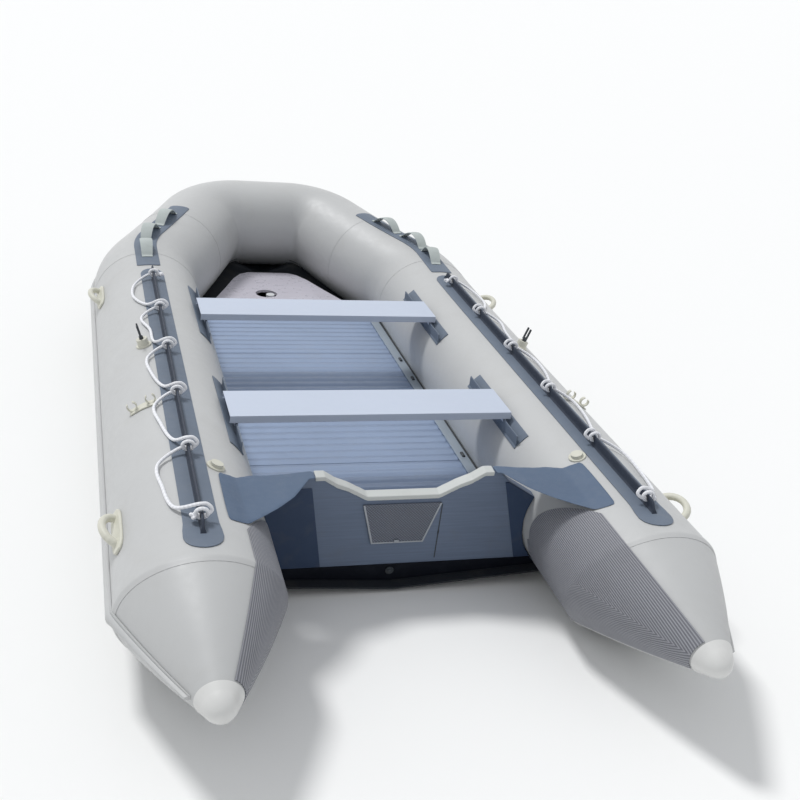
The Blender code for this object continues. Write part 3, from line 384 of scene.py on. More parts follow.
def mixColor(tree, factor, first, second, blend="MIX"):
    made = tree.nodes.new("ShaderNodeMix")
    made.data_type = "RGBA"
    made.blend_type = blend
    for number, value in ((0, factor), (6, first), (7, second)):
        if isinstance(value, (int, float, tuple)):
            made.inputs[number].default_value = value
        else:
            tree.links.new(value, made.inputs[number])
    return made.outputs[2]


def zeroToOne(tree, wave):
    # a sine from -1 to 1, brought to 0 to 1
    return plus(tree, times(tree, wave, 0.5), 0.5)


def buildToneGroup():
    # soft cloudy tone, faint smudges and small scuffs over a plain colour
    group, enter, leave = newGroup("handledTone", [
        ("Vector", "Vector", None), ("Color", "Color", None), ("Soil Color", "Color", None),
        ("Cloud", "Float", 0.06), ("Soil", "Float", 0.1), ("Scale", "Float", 3.0)],
        [("Color", "Color"), ("Soil Mask", "Float")])
    scale = enter.outputs["Scale"]
    cloud = addNode(group, "TexNoise", {"Vector": enter.outputs["Vector"], "Scale": scale},
                    Detail=3.0, Roughness=0.5)
    swing = math2(group, "SUBTRACT", cloud.outputs["Fac"], 0.5)
    swing = times(group, swing, enter.outputs["Cloud"])
    lift = plus(group, times(group, swing, 4.0), 1.0)
    toned = mixColor(group, 1.0, enter.outputs["Color"], lift, "MULTIPLY")
    patches = addNode(group, "TexNoise", {
        "Vector": enter.outputs["Vector"], "Scale": times(group, scale, 2.7)},
        Detail=6.0, Roughness=0.62, Distortion=0.6)
    soil = addNode(group, "MapRange", {"Value": patches.outputs["Fac"]}, **{
        "From Min": 0.52, "From Max": 0.78})
    fine = addNode(group, "TexNoise", {
        "Vector": enter.outputs["Vector"], "Scale": times(group, scale, 31.0)},
        Detail=4.0, Roughness=0.7)
    speck = addNode(group, "MapRange", {"Value": fine.outputs["Fac"]}, **{
        "From Min": 0.60, "From Max": 0.74})
    specks = times(group, speck.outputs["Result"], 0.6)
    mask = plus(group, soil.outputs["Result"], specks)
    mask = times(group, mask, enter.outputs["Soil"], True)
    soiled = mixColor(group, mask, toned, enter.outputs["Soil Color"])
    group.links.new(soiled, leave.inputs["Color"])
    group.links.new(mask, leave.inputs["Soil Mask"])
    return group


def buildWeaveGroup():
    # over-and-under threads at a pitch in metres, for coated cloth and webbing
    group, enter, leave = newGroup("threadWeave", [
        ("Vector", "Vector", None), ("Pitch", "Float", 0.002), ("Ribs", "Float", 0.0)],
        [("Height", "Float")])
    parts = addNode(group, "SeparateXYZ", {"Vector": enter.outputs["Vector"]})
    turns = math2(group, "DIVIDE", 2 * math.pi, enter.outputs["Pitch"])
    waves = []
    for axis in ("X", "Y", "Z"):
        waves.append(math2(group, "SINE", times(group, parts.outputs[axis], turns)))
    cross = times(group, waves[0], waves[1])
    cross = plus(group, cross, times(group, waves[2], waves[1]))
    height = plus(group, times(group, cross, 0.25), 0.5)
    rib = zeroToOne(group, waves[0])
    share = enter.outputs["Ribs"]
    kept = times(group, height, math2(group, "SUBTRACT", 1.0, share))
    mixed = plus(group, kept, times(group, rib, share))
    group.links.new(mixed, leave.inputs["Height"])
    return group


def buildBrushGroup():
    # fine lines drawn out along one axis, for rolled and brushed metal
    group, enter, leave = newGroup("drawnLines", [
        ("Vector", "Vector", None), ("Across", "Float", 400.0), ("Along", "Float", 6.0)],
        [("Height", "Float")])
    stretch = addNode(group, "CombineXYZ", {
        "X": enter.outputs["Along"], "Y": enter.outputs["Across"], "Z": enter.outputs["Across"]})
    scaled = addNode(group, "VectorMath", {0: enter.outputs["Vector"], 1: stretch.outputs[0]},
                     operation="MULTIPLY")
    lines = addNode(group, "TexNoise", {"Vector": scaled.outputs[0]}, Scale=1.0, Detail=3.0,
                    Roughness=0.6)
    group.links.new(lines.outputs["Fac"], leave.inputs["Height"])
    return group


toneGroup = buildToneGroup()
weaveGroup = buildWeaveGroup()
brushGroup = buildBrushGroup()


def placeGroup(tree, group, links, **values):
    made = tree.nodes.new("ShaderNodeGroup")
    made.node_tree = group
    for name, value in values.items():
        made.inputs[name.replace("_", " ")].default_value = value
    for name, source in links.items():
        tree.links.new(source, made.inputs[name])
    return made


roughSwing = 0.06  # how far the roughness wanders to either side


def startMaterial(name, look):
    # what all the boat's finishes share: tone, soil and roughness
    mat = bpy.data.materials.new(name)
    mat.use_nodes = True
    tree = mat.node_tree
    shader = tree.nodes["Principled BSDF"]
    shader.inputs["Metallic"].default_value = look.get("metallic", 0)
    shader.inputs["Coat Weight"].default_value = look.get("coat", 0)
    shader.inputs["Coat Roughness"].default_value = 0.3
    shader.inputs["Specular IOR Level"].default_value = look.get("specular", 0.5)
    coords = addNode(tree, "TexCoord")
    vector = coords.outputs["Object"]
    tone = placeGroup(tree, toneGroup, {"Vector": vector}, Color=look["color"],
                      Soil_Color=look.get("soilColor", srgb(120, 116, 104)), Cloud=look["cloud"],
                      Soil=look["soil"], Scale=look["scale"])
    tree.links.new(tone.outputs["Color"], shader.inputs["Base Color"])
    rough = addNode(tree, "TexNoise", {"Vector": vector}, Scale=40.0, Detail=4.0)
    spread = addNode(tree, "MapRange", {"Value": rough.outputs["Fac"]}, **{
        "From Min": 0.3, "From Max": 0.7,
        "To Min": look["roughness"] - roughSwing, "To Max": look["roughness"] + roughSwing})
    dulled = times(tree, tone.outputs["Soil Mask"], 0.25)
    soiled = plus(tree, spread.outputs["Result"], dulled, True)
    tree.links.new(soiled, shader.inputs["Roughness"])
    return mat, tree, shader, coords.outputs, tone.outputs["Color"]


def addBump(tree, shader, height, strength, distance, before=None):
    bump = addNode(tree, "Bump", {"Height": height}, Strength=strength, Distance=distance)
    if before:
        tree.links.new(before.outputs["Normal"], bump.inputs["Normal"])
    tree.links.new(bump.outputs["Normal"], shader.inputs["Normal"])
    return bump


def paintReliefShade(tree, shader, color, height, darkest, lightest, low=0.0, high=1.0):
    # painted shade in the hollows of a relief and a painted highlight on its crests
    shade = addNode(tree, "MapRange", {"Value": height}, **{
        "From Min": low, "From Max": high, "To Min": darkest, "To Max": lightest})
    mixed = mixColor(tree, 1.0, color, shade.outputs["Result"], "MULTIPLY")
    tree.links.new(mixed, shader.inputs["Base Color"])


def clothFinish(tree, shader, coords, color, look):
    # coated fabric: a low weave under a smooth skin, with slow waves from the glued panels
    vector = coords["Object"]
    weave = placeGroup(tree, weaveGroup, {"Vector": vector}, Pitch=0.0024)
    slow = addNode(tree, "TexNoise", {"Vector": vector}, Scale=7.0, Detail=2.0)
    first = addBump(tree, shader, slow.outputs["Fac"], look.get("wave", 0.15), 0.02)
    grain = addNode(tree, "TexNoise", {"Vector": vector}, Scale=420.0, Detail=2.0)
    grained = times(tree, grain.outputs["Fac"], 0.7)
    mixed = plus(tree, weave.outputs["Height"], grained)
    addBump(tree, shader, mixed, look.get("grain", 0.25), 0.0006, first)


def mouldedFinish(tree, shader, coords, color, look):
    # moulded rubber and plastic: an even fine pebble
    pebble = addNode(tree, "TexVoronoi", {"Vector": coords["Object"]}, Scale=700.0)
    addBump(tree, shader, pebble.outputs["Distance"], 0.2, 0.0004)


def metalFinish(tree, shader, coords, color, look):
    lines = placeGroup(tree, brushGroup, {"Vector": coords["Object"]})
    addBump(tree, shader, lines.outputs["Height"], 0.12, 0.0004)


def boardFinish(tree, shader, coords, color, look):
    # painted plywood: drawn-out grain under the paint
    lines = placeGroup(tree, brushGroup, {"Vector": coords["Object"]}, Across=160.0, Along=5.0)
    # painted shade in the grain's hollows and a painted highlight on its crests
    paintReliefShade(tree, shader, color, lines.outputs["Height"], 0.93, 1.06, 0.35, 0.7)
    addBump(tree, shader, lines.outputs["Height"], look.get("grain", 0.15), 0.0006)


def ribbedFinish(tree, shader, coords, color, look):
    # ribbed rubber sheet: ribs at constant distance from the sheet's edge, read from its UV map
    parts = addNode(tree, "SeparateXYZ", {"Vector": coords["UV"]})
    turned = times(tree, parts.outputs["X"], 2 * math.pi / look["ribPitch"])
    sharp = math2(tree, "POWER", zeroToOne(tree, math2(tree, "SINE", turned)), 1.6)
    # the grooves take a darker colour: painted shade in them
    grooveShadedColor = mixColor(tree, sharp, look["grooveColor"], color)
    tree.links.new(grooveShadedColor, shader.inputs["Base Color"])
    addBump(tree, shader, sharp, 0.8, 0.0018)


def webbingFinish(tree, shader, coords, color, look):
    # flat woven strap: UV in metres, x across the strap and y along it
    weave = placeGroup(tree, weaveGroup, {"Vector": coords["UV"]}, Pitch=0.0036, Ribs=0.45)
    # painted shade in the weave's hollows and a painted highlight on its crests
    paintReliefShade(tree, shader, color, weave.outputs["Height"], 0.72, 1.06)
    addBump(tree, shader, weave.outputs["Height"], 0.7, 0.0010)


def ropeFinish(tree, shader, coords, color, look):
    # braided rope: crossing strands from the UV map
    parts = addNode(tree, "SeparateXYZ", {"Vector": coords["UV"]})
    along = times(tree, parts.outputs["X"], 2 * math.pi / look["strandPitch"])
    around = times(tree, parts.outputs["Y"], 2 * math.pi * look["strands"])
    first = math2(tree, "SINE", plus(tree, along, around))
    second = math2(tree, "SINE", math2(tree, "SUBTRACT", along, around))
    height = zeroToOne(tree, times(tree, first, second))
    # painted shade between the strands and a painted highlight on them
    paintReliefShade(tree, shader, color, height, 0.84, 1.05)
    addBump(tree, shader, height, 0.7, 0.0012)


def knurledFinish(tree, shader, coords, color, look):
    # crossed diagonal grooves on the motor plate
    parts = addNode(tree, "SeparateXYZ", {"Vector": coords["Object"]})
    waves = []
    for kind in ("ADD", "SUBTRACT"):
        slanted = math2(tree, kind, parts.outputs["X"], parts.outputs["Z"])
        wave = math2(tree, "SINE", times(tree, slanted, 2 * math.pi / look["pitch"]))
        waves.append(math2(tree, "POWER", math2(tree, "ABSOLUTE", wave), 0.6))
    height = times(tree, waves[0], waves[1])
    # painted shade in the grooves and a painted highlight on the diamonds between them
    paintReliefShade(tree, shader, color, height, 0.40, 1.10)
    addBump(tree, shader, height, 0.8, 0.0018)


def buildFinish(name, dress, look):
    mat, tree, shader, coords, color = startMaterial(name, look)
    dress(tree, shader, coords, color, look)
    return mat


looks = {
    "tubeFabric": (clothFinish, {
        "color": srgb(187, 188, 188), "roughness": 0.46, "cloud": 0.03, "soil": 0.10,
        "scale": 2.2, "soilColor": srgb(156, 152, 140), "wave": 0.10}),
    "slateFabric": (clothFinish, {
        "color": srgb(104, 115, 130), "roughness": 0.6, "specular": 0.28, "cloud": 0.06,
        "soil": 0.16, "scale": 6.0, "soilColor": srgb(140, 138, 130), "grain": 0.4}),
    # the fin is the strip's slate cloth made darker: painted shade, for its inboard face seen in
    # shade
    "finFabric": (clothFinish, {
        "color": srgb(54, 61, 74), "roughness": 0.6, "specular": 0.25, "cloud": 0.06,
        "soil": 0.12, "scale": 8.0, "soilColor": srgb(110, 112, 116), "grain": 0.4}),
    "flapFabric": (clothFinish, {
        "color": srgb(84, 101, 124), "roughness": 0.58, "specular": 0.3, "cloud": 0.05,
        "soil": 0.12, "scale": 5.0, "soilColor": srgb(134, 138, 142), "grain": 0.35}),
    "bottomFabric": (clothFinish, {
        "color": srgb(32, 36, 42), "roughness": 0.6, "specular": 0.25, "cloud": 0.08,
        "soil": 0.25, "scale": 3.0, "soilColor": srgb(96, 92, 82), "grain": 0.5}),
    # the transom band: dark navy cloth, darkened further nearly to black as painted shade of the
    # underside
    "navyFabric": (clothFinish, {
        "color": srgb(8, 12, 22), "roughness": 0.6, "specular": 0.15, "cloud": 0.08, "soil": 0.15,
        "scale": 6.0, "soilColor": srgb(70, 74, 84), "grain": 0.4}),
    "capRubber": (mouldedFinish, {
        "color": srgb(214, 214, 212), "roughness": 0.42, "cloud": 0.03, "soil": 0.12,
        "scale": 6.0, "soilColor": srgb(150, 144, 130)}),
    "creamRubber": (mouldedFinish, {
        "color": srgb(206, 205, 192), "roughness": 0.5, "cloud": 0.03, "soil": 0.18, "scale": 9.0,
        "soilColor": srgb(150, 146, 128)}),
    "creamTrim": (mouldedFinish, {
        "color": srgb(192, 195, 193), "roughness": 0.5, "cloud": 0.03, "soil": 0.12, "scale": 5.0,
        "soilColor": srgb(140, 138, 128)}),
    "darkPlastic": (mouldedFinish, {
        "color": srgb(46, 52, 58), "roughness": 0.5, "cloud": 0.05, "soil": 0.15, "scale": 9.0}),
    "palePlastic": (mouldedFinish, {
        "color": srgb(214, 216, 218), "roughness": 0.38, "cloud": 0.02, "soil": 0.10,
        "scale": 9.0}),
    "boardPaint": (boardFinish, {
        "color": srgb(102, 115, 136), "roughness": 0.55, "specular": 0.3, "cloud": 0.07,
        "soil": 0.16, "scale": 4.0, "soilColor": srgb(112, 110, 108)}),
    "holderPlastic": (mouldedFinish, {
        "color": srgb(46, 62, 88), "roughness": 0.55, "specular": 0.3, "cloud": 0.06,
        "soil": 0.12, "scale": 6.0}),
    "bowBoardPaint": (boardFinish, {
        "color": srgb(198, 195, 205), "roughness": 0.30, "coat": 0.25, "cloud": 0.03,
        "soil": 0.10, "scale": 4.0, "grain": 0.08}),
    "floorAluminium": (metalFinish, {
        "color": srgb(138, 154, 180), "roughness": 0.42, "metallic": 0.5, "cloud": 0.06,
        "soil": 0.14, "scale": 3.0, "soilColor": srgb(150, 152, 148)}),
    "seatAluminium": (metalFinish, {
        "color": srgb(190, 199, 215), "roughness": 0.5, "metallic": 0.12, "cloud": 0.02,
        "soil": 0.06, "scale": 3.0, "soilColor": srgb(176, 180, 186)}),
    "railAluminium": (metalFinish, {
        "color": srgb(158, 168, 178), "roughness": 0.42, "metallic": 0.4, "cloud": 0.05,
        "soil": 0.10, "scale": 6.0}),
    "motorPlate": (knurledFinish, {
        "color": srgb(112, 118, 131), "roughness": 0.5, "cloud": 0.05, "soil": 0.14, "scale": 6.0,
        "pitch": 0.020}),
    "plateRim": (mouldedFinish, {
        "color": srgb(160, 165, 172), "roughness": 0.45, "cloud": 0.03, "soil": 0.15,
        "scale": 9.0}),
    # the groove colour is painted shade in the ribs' grooves
    "ribbedRubber": (ribbedFinish, {
        "color": srgb(160, 161, 168), "roughness": 0.55, "cloud": 0.05, "soil": 0.18,
        "scale": 4.0, "grooveColor": srgb(106, 108, 115), "ribPitch": 0.0062}),
    "paleWebbing": (webbingFinish, {
        "color": srgb(190, 198, 196), "roughness": 0.7, "cloud": 0.04, "soil": 0.2, "scale": 9.0,
        "soilColor": srgb(150, 150, 136)}),
    "whiteRope": (ropeFinish, {
        "color": srgb(242, 243, 247), "roughness": 0.7, "cloud": 0.02, "soil": 0.08,
        "scale": 12.0, "soilColor": srgb(170, 170, 164), "strandPitch": 0.016, "strands": 3}),
}

finishes = {name: buildFinish(name, dress, look) for name, (dress, look) in looks.items()}
print("materials ready:", len(finishes))


# Lifelines: one rope a side, through the eyelets and outboard in swags between them

lifelineSetup = {
    "eyelets": 6,
    "start": 0.560,
    "pitch": 0.3894,
    "ropeRadius": 0.0054,
    "hole": 0.0236,
    "over": 0.0456,
    "low": 0.0116,
    "lift": 0.003,
    "loopOut": 0.017,
    "loopIn": 0.025,
    "turn": ((0.12, 0.55, 0.0), (0.50, 1.0, 0.5), (0.88, 0.55, 1.0), (1.0, 0.0, 1.0)),  # back over
    "swag": 0.085,
    "swagPlaces": (0.80, 0.48, 0.12),
    "swagOut": ((0.72, 1.00, 1.02), (0.40, 0.74, 0.84), (0.40, 0.78, 0.82), (0.46, 0.56, 0.82),
                (0.50, 1.05, 0.85)),
    "steps": 8,
}


def eyeletStations(setup):
    return [setup["start"] + setup["pitch"] * number for number in range(setup["eyelets"])]


def lifelineRoute(setup):
    girth = hullShape["radius"]
    route = []

    def place(station, across, height):
        route.append(onTube(station, 90 + math.degrees(across / girth), height))

    for number, station in enumerate(eyeletStations(setup)):
        place(station, -setup["loopOut"], setup["hole"])
        place(station, 0, setup["hole"])
        if number == setup["eyelets"] - 1:
            place(station, setup["loopIn"], setup["hole"] + setup["lift"])
            break
        crown = setup["over"] + setup["lift"]
        for along, across, up in setup["turn"]:
            place(station + setup["loopOut"] * along, setup["loopIn"] * across,
                  setup["hole"] + (crown - setup["hole"]) * up)
        for share, out in zip(setup["swagPlaces"], setup["swagOut"][number]):
            place(station + setup["pitch"] * (1 - share), -setup["swag"] * out, setup["low"])
    return route


def smoothRoute(points, steps):
    # a curve through every point, with knots by the root of the chord
    padded = [points[0] * 2 - points[1]] + points + [points[-1] * 2 - points[-2]]
    result = []
    for number in range(1, len(padded) - 2):
        before, start, end, after = padded[number - 1:number + 3]
        knots = [0]
        for a, b in ((before, start), (start, end), (end, after)):
            knots.append(knots[-1] + math.sqrt((b - a).length))
        for step in range(steps):
            t = knots[1] + (knots[2] - knots[1]) * step / steps
            a1 = before.lerp(start, (t - knots[0]) / (knots[1] - knots[0]))
            a2 = start.lerp(end, (t - knots[1]) / (knots[2] - knots[1]))
            a3 = end.lerp(after, (t - knots[2]) / (knots[3] - knots[2]))
            b1 = a1.lerp(a2, (t - knots[0]) / (knots[2] - knots[0]))
            b2 = a2.lerp(a3, (t - knots[1]) / (knots[3] - knots[1]))
            result.append(b1.lerp(b2, (t - knots[1]) / (knots[2] - knots[1])))
    result.append(points[-1])
    return result


def ropeCurve(name, points, radius):
    # a round rope along the points, made a mesh
    data = bpy.data.curves.new(name, "CURVE")
    data.dimensions = "3D"
    data.bevel_depth = radius
    data.bevel_resolution = 3
    data.use_fill_caps = True
    spline = data.splines.new("POLY")
    spline.points.add(len(points) - 1)
    for point, place in zip(spline.points, points):
        point.co = (*place, 1)
    choose(addObject(name, data))
    bpy.ops.object.convert(target="MESH")
    return bpy.context.object


def scaleRopeUv(piece, length):
    # the rope's UV map in metres along, turns around
    setUv(piece, lambda u, v: (u * length, v))


knotSetup = {
    "steps": 40,
    "size": 0.62,
    "thickness": 0.95,
    "ropeLength": 0.12,
}


def ropeKnot(name, place, radius, setup):
    # an overhand knot: a short turn and a half of the rope drawn tight on itself
    points = []
    for step in range(setup["steps"] + 1):
        turned = 2 * math.pi * step / setup["steps"]
        trefoil = Vector((math.sin(turned) + 2 * math.sin(2 * turned),
                          math.cos(turned) - 2 * math.cos(2 * turned), -math.sin(3 * turned)))
        points.append(trefoil * radius * setup["size"] + place)
    knot = ropeCurve(name, points, radius * setup["thickness"])
    scaleRopeUv(knot, setup["ropeLength"])
    return knot


def addLifelines(setup):
    starboard = smoothRoute(lifelineRoute(setup), setup["steps"])
    for side, sign in (("starboard", 1), ("port", -1)):
        points = [Vector((point.x * sign, point.y, point.z)) for point in starboard]
        length = sum((b - a).length for a, b in zip(points, points[1:]))
        rope = ropeCurve(side + "Lifeline", points, setup["ropeRadius"])
        scaleRopeUv(rope, length)
        finishPiece(rope, "whiteRope", "hull", [side + "_lifeline"], "rope_white", 60)
        for end, label in ((0, "Aft"), (-1, "Forward")):
            knot = ropeKnot(side + label + "Knot", points[end], setup["ropeRadius"], knotSetup)
            finishPiece(knot, "whiteRope", "hull", (), "rope_white", 60)
        print(side, "lifeline", round(length, 3), "m")


addLifelines(lifelineSetup)


ropeLoopSetup = {
    "radius": 0.0155,
    "height": 0.033,
    "aft": 0.006,
    "lean": 14,
    "stretch": (1.08, 1, 0.92),
    "steps": (40, 12),
}


def addRing(middle, rotation, radius, thickness, steps, stretch):
    # a ring stretched about its own middle
    deselectAll()
    bpy.ops.mesh.primitive_torus_add(location=middle, rotation=rotation, major_segments=steps[0],
                                     minor_segments=steps[1], major_radius=radius,
                                     minor_radius=thickness)
    ring = bpy.context.object
    editAll(ring)
    bpy.ops.transform.resize(value=stretch, center_override=middle)
    leaveEdit()
    return ring


def addRopeLoops(setup):
    # at each eyelet the rope takes one more turn round the fin
    loops = []
    for number, station in enumerate(eyeletStations(lifelineSetup)):
        middle = onTube(station - setup["aft"], 90, setup["height"])
        lean = math.radians(setup["lean"] * (-1) ** number)
        loop = addRing(middle, (math.pi / 2, lean, 0), setup["radius"],
                       lifelineSetup["ropeRadius"], setup["steps"], setup["stretch"])
        scaleRopeUv(loop, 2 * math.pi * setup["radius"])
        loops.append(loop)
    turns = joinPieces(loops, "starboardRopeTurns")
    bothSides(turns, "RopeTurns", "whiteRope", (), "rope_white", 60)


addRopeLoops(ropeLoopSetup)


# Side tubes and bow tubes, smooth and round, closed where they meet

tubeSetup = {
    "sides": 64,
    "seamStation": 0.400,
    "seamLean": 0.35,
    "sideEnd": 2.870,
    "bowStart": 3.44,
    "sideRows": 60,
    "bowSideRows": 40,
    "bowRows": 64,
    "bowMerge": 0.00005,
}


def seamY(height):
    # the leaning plane between a side tube and its stern cone
    crown = hullShape["radius"] * 2
    return worldY(tubeSetup["seamStation"] + (crown - height) * tubeSetup["seamLean"])


def sideTubePoint(u, v):
    angle = 360 * (1 - u)
    rim = onTube(1.0, angle)
    rim.y = seamY(rim.z)
    startStation = rim.y + hullShape["length"] / 2
    return onTube(startStation + (tubeSetup["sideEnd"] - startStation) * v, angle)


def addTubes(setup):
    sides = setup["sides"]
    shellSides("SideTube", sides, setup["sideRows"], sideTubePoint,
               "tubeFabric", ["tube"], "pvc_grey", 40)
    start = lineAt(setup["sideEnd"])["run"]
    middle = lineAt(setup["bowStart"])["run"]

    def bowSidePoint(u, v):
        return onTube(start + (middle - start) * v, 360 * (1 - u), 0, "run")

    shellSides("BowTube", sides, setup["bowSideRows"], bowSidePoint,
               "tubeFabric", ["bow_tube"], "pvc_grey", 40)

    def bowPoint(u, v):
        return onTube(middle + (bowRun - middle) * v, 360 * (1 - u), 0, "run")

    half = wrapGrid("bowTube", sides, setup["bowRows"], bowPoint)
    other = mirrorPiece(half, "bowTubePort")
    bow = joinPieces([half, other], "bowMiddleTube")
    closeShell(bow, setup["bowMerge"])
    finishPiece(bow, "tubeFabric", "hull", ["bow_tube"], "pvc_grey", 40)


addTubes(tubeSetup)
print("tubes done")


# Stern cones with their end caps

coneSetup = {
    "endStation": 0.046,
    "endRadius": 0.045,
    "endLift": 0.047,
    "bulge": 0.007,
    "slant": 0.40,
    "capCollar": 0.026,
    "capWall": 0.0024,
    "lipRows": 0.08,
    "collarRows": 0.42,
    "noseStart": 33,  # degrees
    "rings": 36,
    "capGrid": (48, 40),
}


def onCone(angle, share, lift=0.0):
    # share 0 at the seam with the tube, 1 at the round end
    turned = math.radians(angle)
    radius = hullShape["radius"]
    half = hullShape["halfSpacing"]
    start = Vector((half + radius * math.cos(turned), 0, radius + radius * math.sin(turned)))
    start.y = seamY(start.z)
    endRadius = coneSetup["endRadius"]
    end = Vector((half + endRadius * math.cos(turned), worldY(coneSetup["endStation"]),
                  radius + coneSetup["endLift"] + endRadius * math.sin(turned)))
    out = Vector((math.cos(turned), 0, math.sin(turned)))
    return start.lerp(end, share) + out * (coneSetup["bulge"] * math.sin(math.pi * share) + lift)


def conePoint(u, v):
    return onCone(360 * u, v)


def capPoint(u, v):
    # collar lip, collar along the cone, then a round nose to the stern tip
    angle = 360 * u
    turned = math.radians(angle)
    wall = coneSetup["capWall"]
    lip, collar = coneSetup["lipRows"], coneSetup["collarRows"]
    back = 1 - coneSetup["capCollar"] / coneSetup["slant"]
    middle = Vector((hullShape["halfSpacing"], 0, hullShape["radius"] + coneSetup["endLift"]))
    if v < lip:
        return onCone(angle, back, wall * v / lip)
    if v < collar:
        return onCone(angle, back + (1 - back) * (v - lip) / (collar - lip), wall)
    low = math.radians(coneSetup["noseStart"])
    swing = low + (v - collar) / (1 - collar) * (math.pi / 2 - low)
    radius = (coneSetup["endRadius"] + wall) * math.cos(swing) / math.cos(low)
    reach = (math.sin(swing) - math.sin(low)) / (1 - math.sin(low))
    middle.y = worldY(coneSetup["endStation"] * (1 - reach))
    return middle + Vector((math.cos(turned), 0, math.sin(turned))) * radius


def addCones(setup):
    shellSides("SternCone", tubeSetup["sides"], setup["rings"], conePoint,
               "tubeFabric", ["cone"], "pvc_grey", 60)
    shellSides("ConeCap", *setup["capGrid"], capPoint,
               "capRubber", ["cone_cap"], "rubber_light", 50)


addCones(coneSetup)
print("cones done")


# Glued tapes round the seams between cones, side tubes and bow tubes

tapeSetup = {
    "lift": 0.0002,
    "coneLift": 0.0003,
    "coneSlant": 0.38,
    "thickness": 0.0006,
    "width": 0.036,
    "sides": 96,
}


def addSeamTapes(setup):
    half = setup["width"] / 2

    def overSeam(u, v):
        # first on the tube, then over on to the cone
        angle = 360 * (1 - u)
        if v > 0.5:
            rim = onCone(angle, 0)
            start = rim.y + hullShape["length"] / 2
            return onTube(start + half * (v - 0.5) * 2, angle, setup["lift"])
        return onCone(angle, (0.5 - v) * 2 * half / setup["coneSlant"], setup["coneLift"])

    bands = [("ConeSeamTape", 6, overSeam)]
    for label, seam in (("KneeTape", "sideEnd"), ("BowTape", "bowStart")):
        def around(u, v, run=lineAt(tubeSetup[seam])["run"]):
            return onTube(run + (v - 0.5) * setup["width"], 360 * (1 - u), setup["lift"], "run")

        bands.append((label, 4, around))
    for label, rows, place in bands:
        tape = patch("starboard" + label, setup["sides"], rows, place, setup["thickness"])
        mergePoints(tape)
        bothSides(tape, label, "tubeFabric", (), "pvc_grey", 50)


addSeamTapes(tapeSetup)
print("tapes done")


# Rope strips: a slate patch with a rounded stern end, a standing fin and eyelets

stripSetup = {
    "lift": 0.0006,
    "thickness": 0.0026,
    "bevel": 0.0008,
    "halfWidth": 0.048,
    "narrowest": 0.004,
    "aft": 0.436,
    "end": 2.640,
    "bulbRadius": 0.054,
    "bulbLength": 0.154,
    "bulbShares": ((0.0, 0.0), (0.02, 0.30), (0.06, 0.52), (0.12, 0.72), (0.22, 0.90),
                   (0.36, 1.0), (0.60, 0.97), (0.80, 0.90), (1.0, 0.889)),
    "tipLength": 0.060,
    "grid": (20, 120),
    "bulbRows": 0.20,  # share of the rows that the rounded stern end takes
    "tipRows": 0.14,
    "crowding": 1.6,  # how closely rows crowd at the tips
    "finStart": 0.500,
    "finEnd": 2.612,
    "finRamp": 0.030,
    "finHeight": 0.034,
    "finHalf": 0.0033,
    "finFoot": 0.0030,
    "finLowest": 0.001,
    "finRows": 220,
    "flare": 1.2,
    "flareHeight": 0.006,
    "eyeletHeight": 0.020,
    "hole": {"vertices": 28, "radius": 0.0067, "depth": 0.03},
    "grommet": {"radius": 0.0098, "thickness": 0.0030, "steps": (28, 10), "stretch": (1.9, 1, 1)},
}


def stripHalf(station, setup):
    share = (station - setup["aft"]) / setup["bulbLength"]
    if share < 1:
        shares = setup["bulbShares"]
        for (place, wide), (nextPlace, nextWide) in zip(shares, shares[1:]):
            if share <= nextPlace:
                part = (share - place) / (nextPlace - place)
                return setup["bulbRadius"] * (wide + (nextWide - wide) * part)
    left = (setup["end"] - station) / setup["tipLength"]
    if left < 1:
        return setup["halfWidth"] * math.sqrt(max(0.0, 1 - (1 - left) ** 2))
    return setup["halfWidth"]


standingSetup = {"sides": 21, "back": 0.95, "face": 0.4}


def standingOutline(u, half, height):
    # round a fin: up one face, over its rounded head, down the other and back underneath
    u = min(1, u / standingSetup["back"]) if u < 0.999 else 0
    face = standingSetup["face"]
    straight = height - half
    if u < face:
        return -half, straight * u / face
    if u > 1 - face:
        return half, straight * (1 - u) / face
    swing = (u - face) / (1 - 2 * face) * math.pi
    return -half * math.cos(swing), straight + half * math.sin(swing)


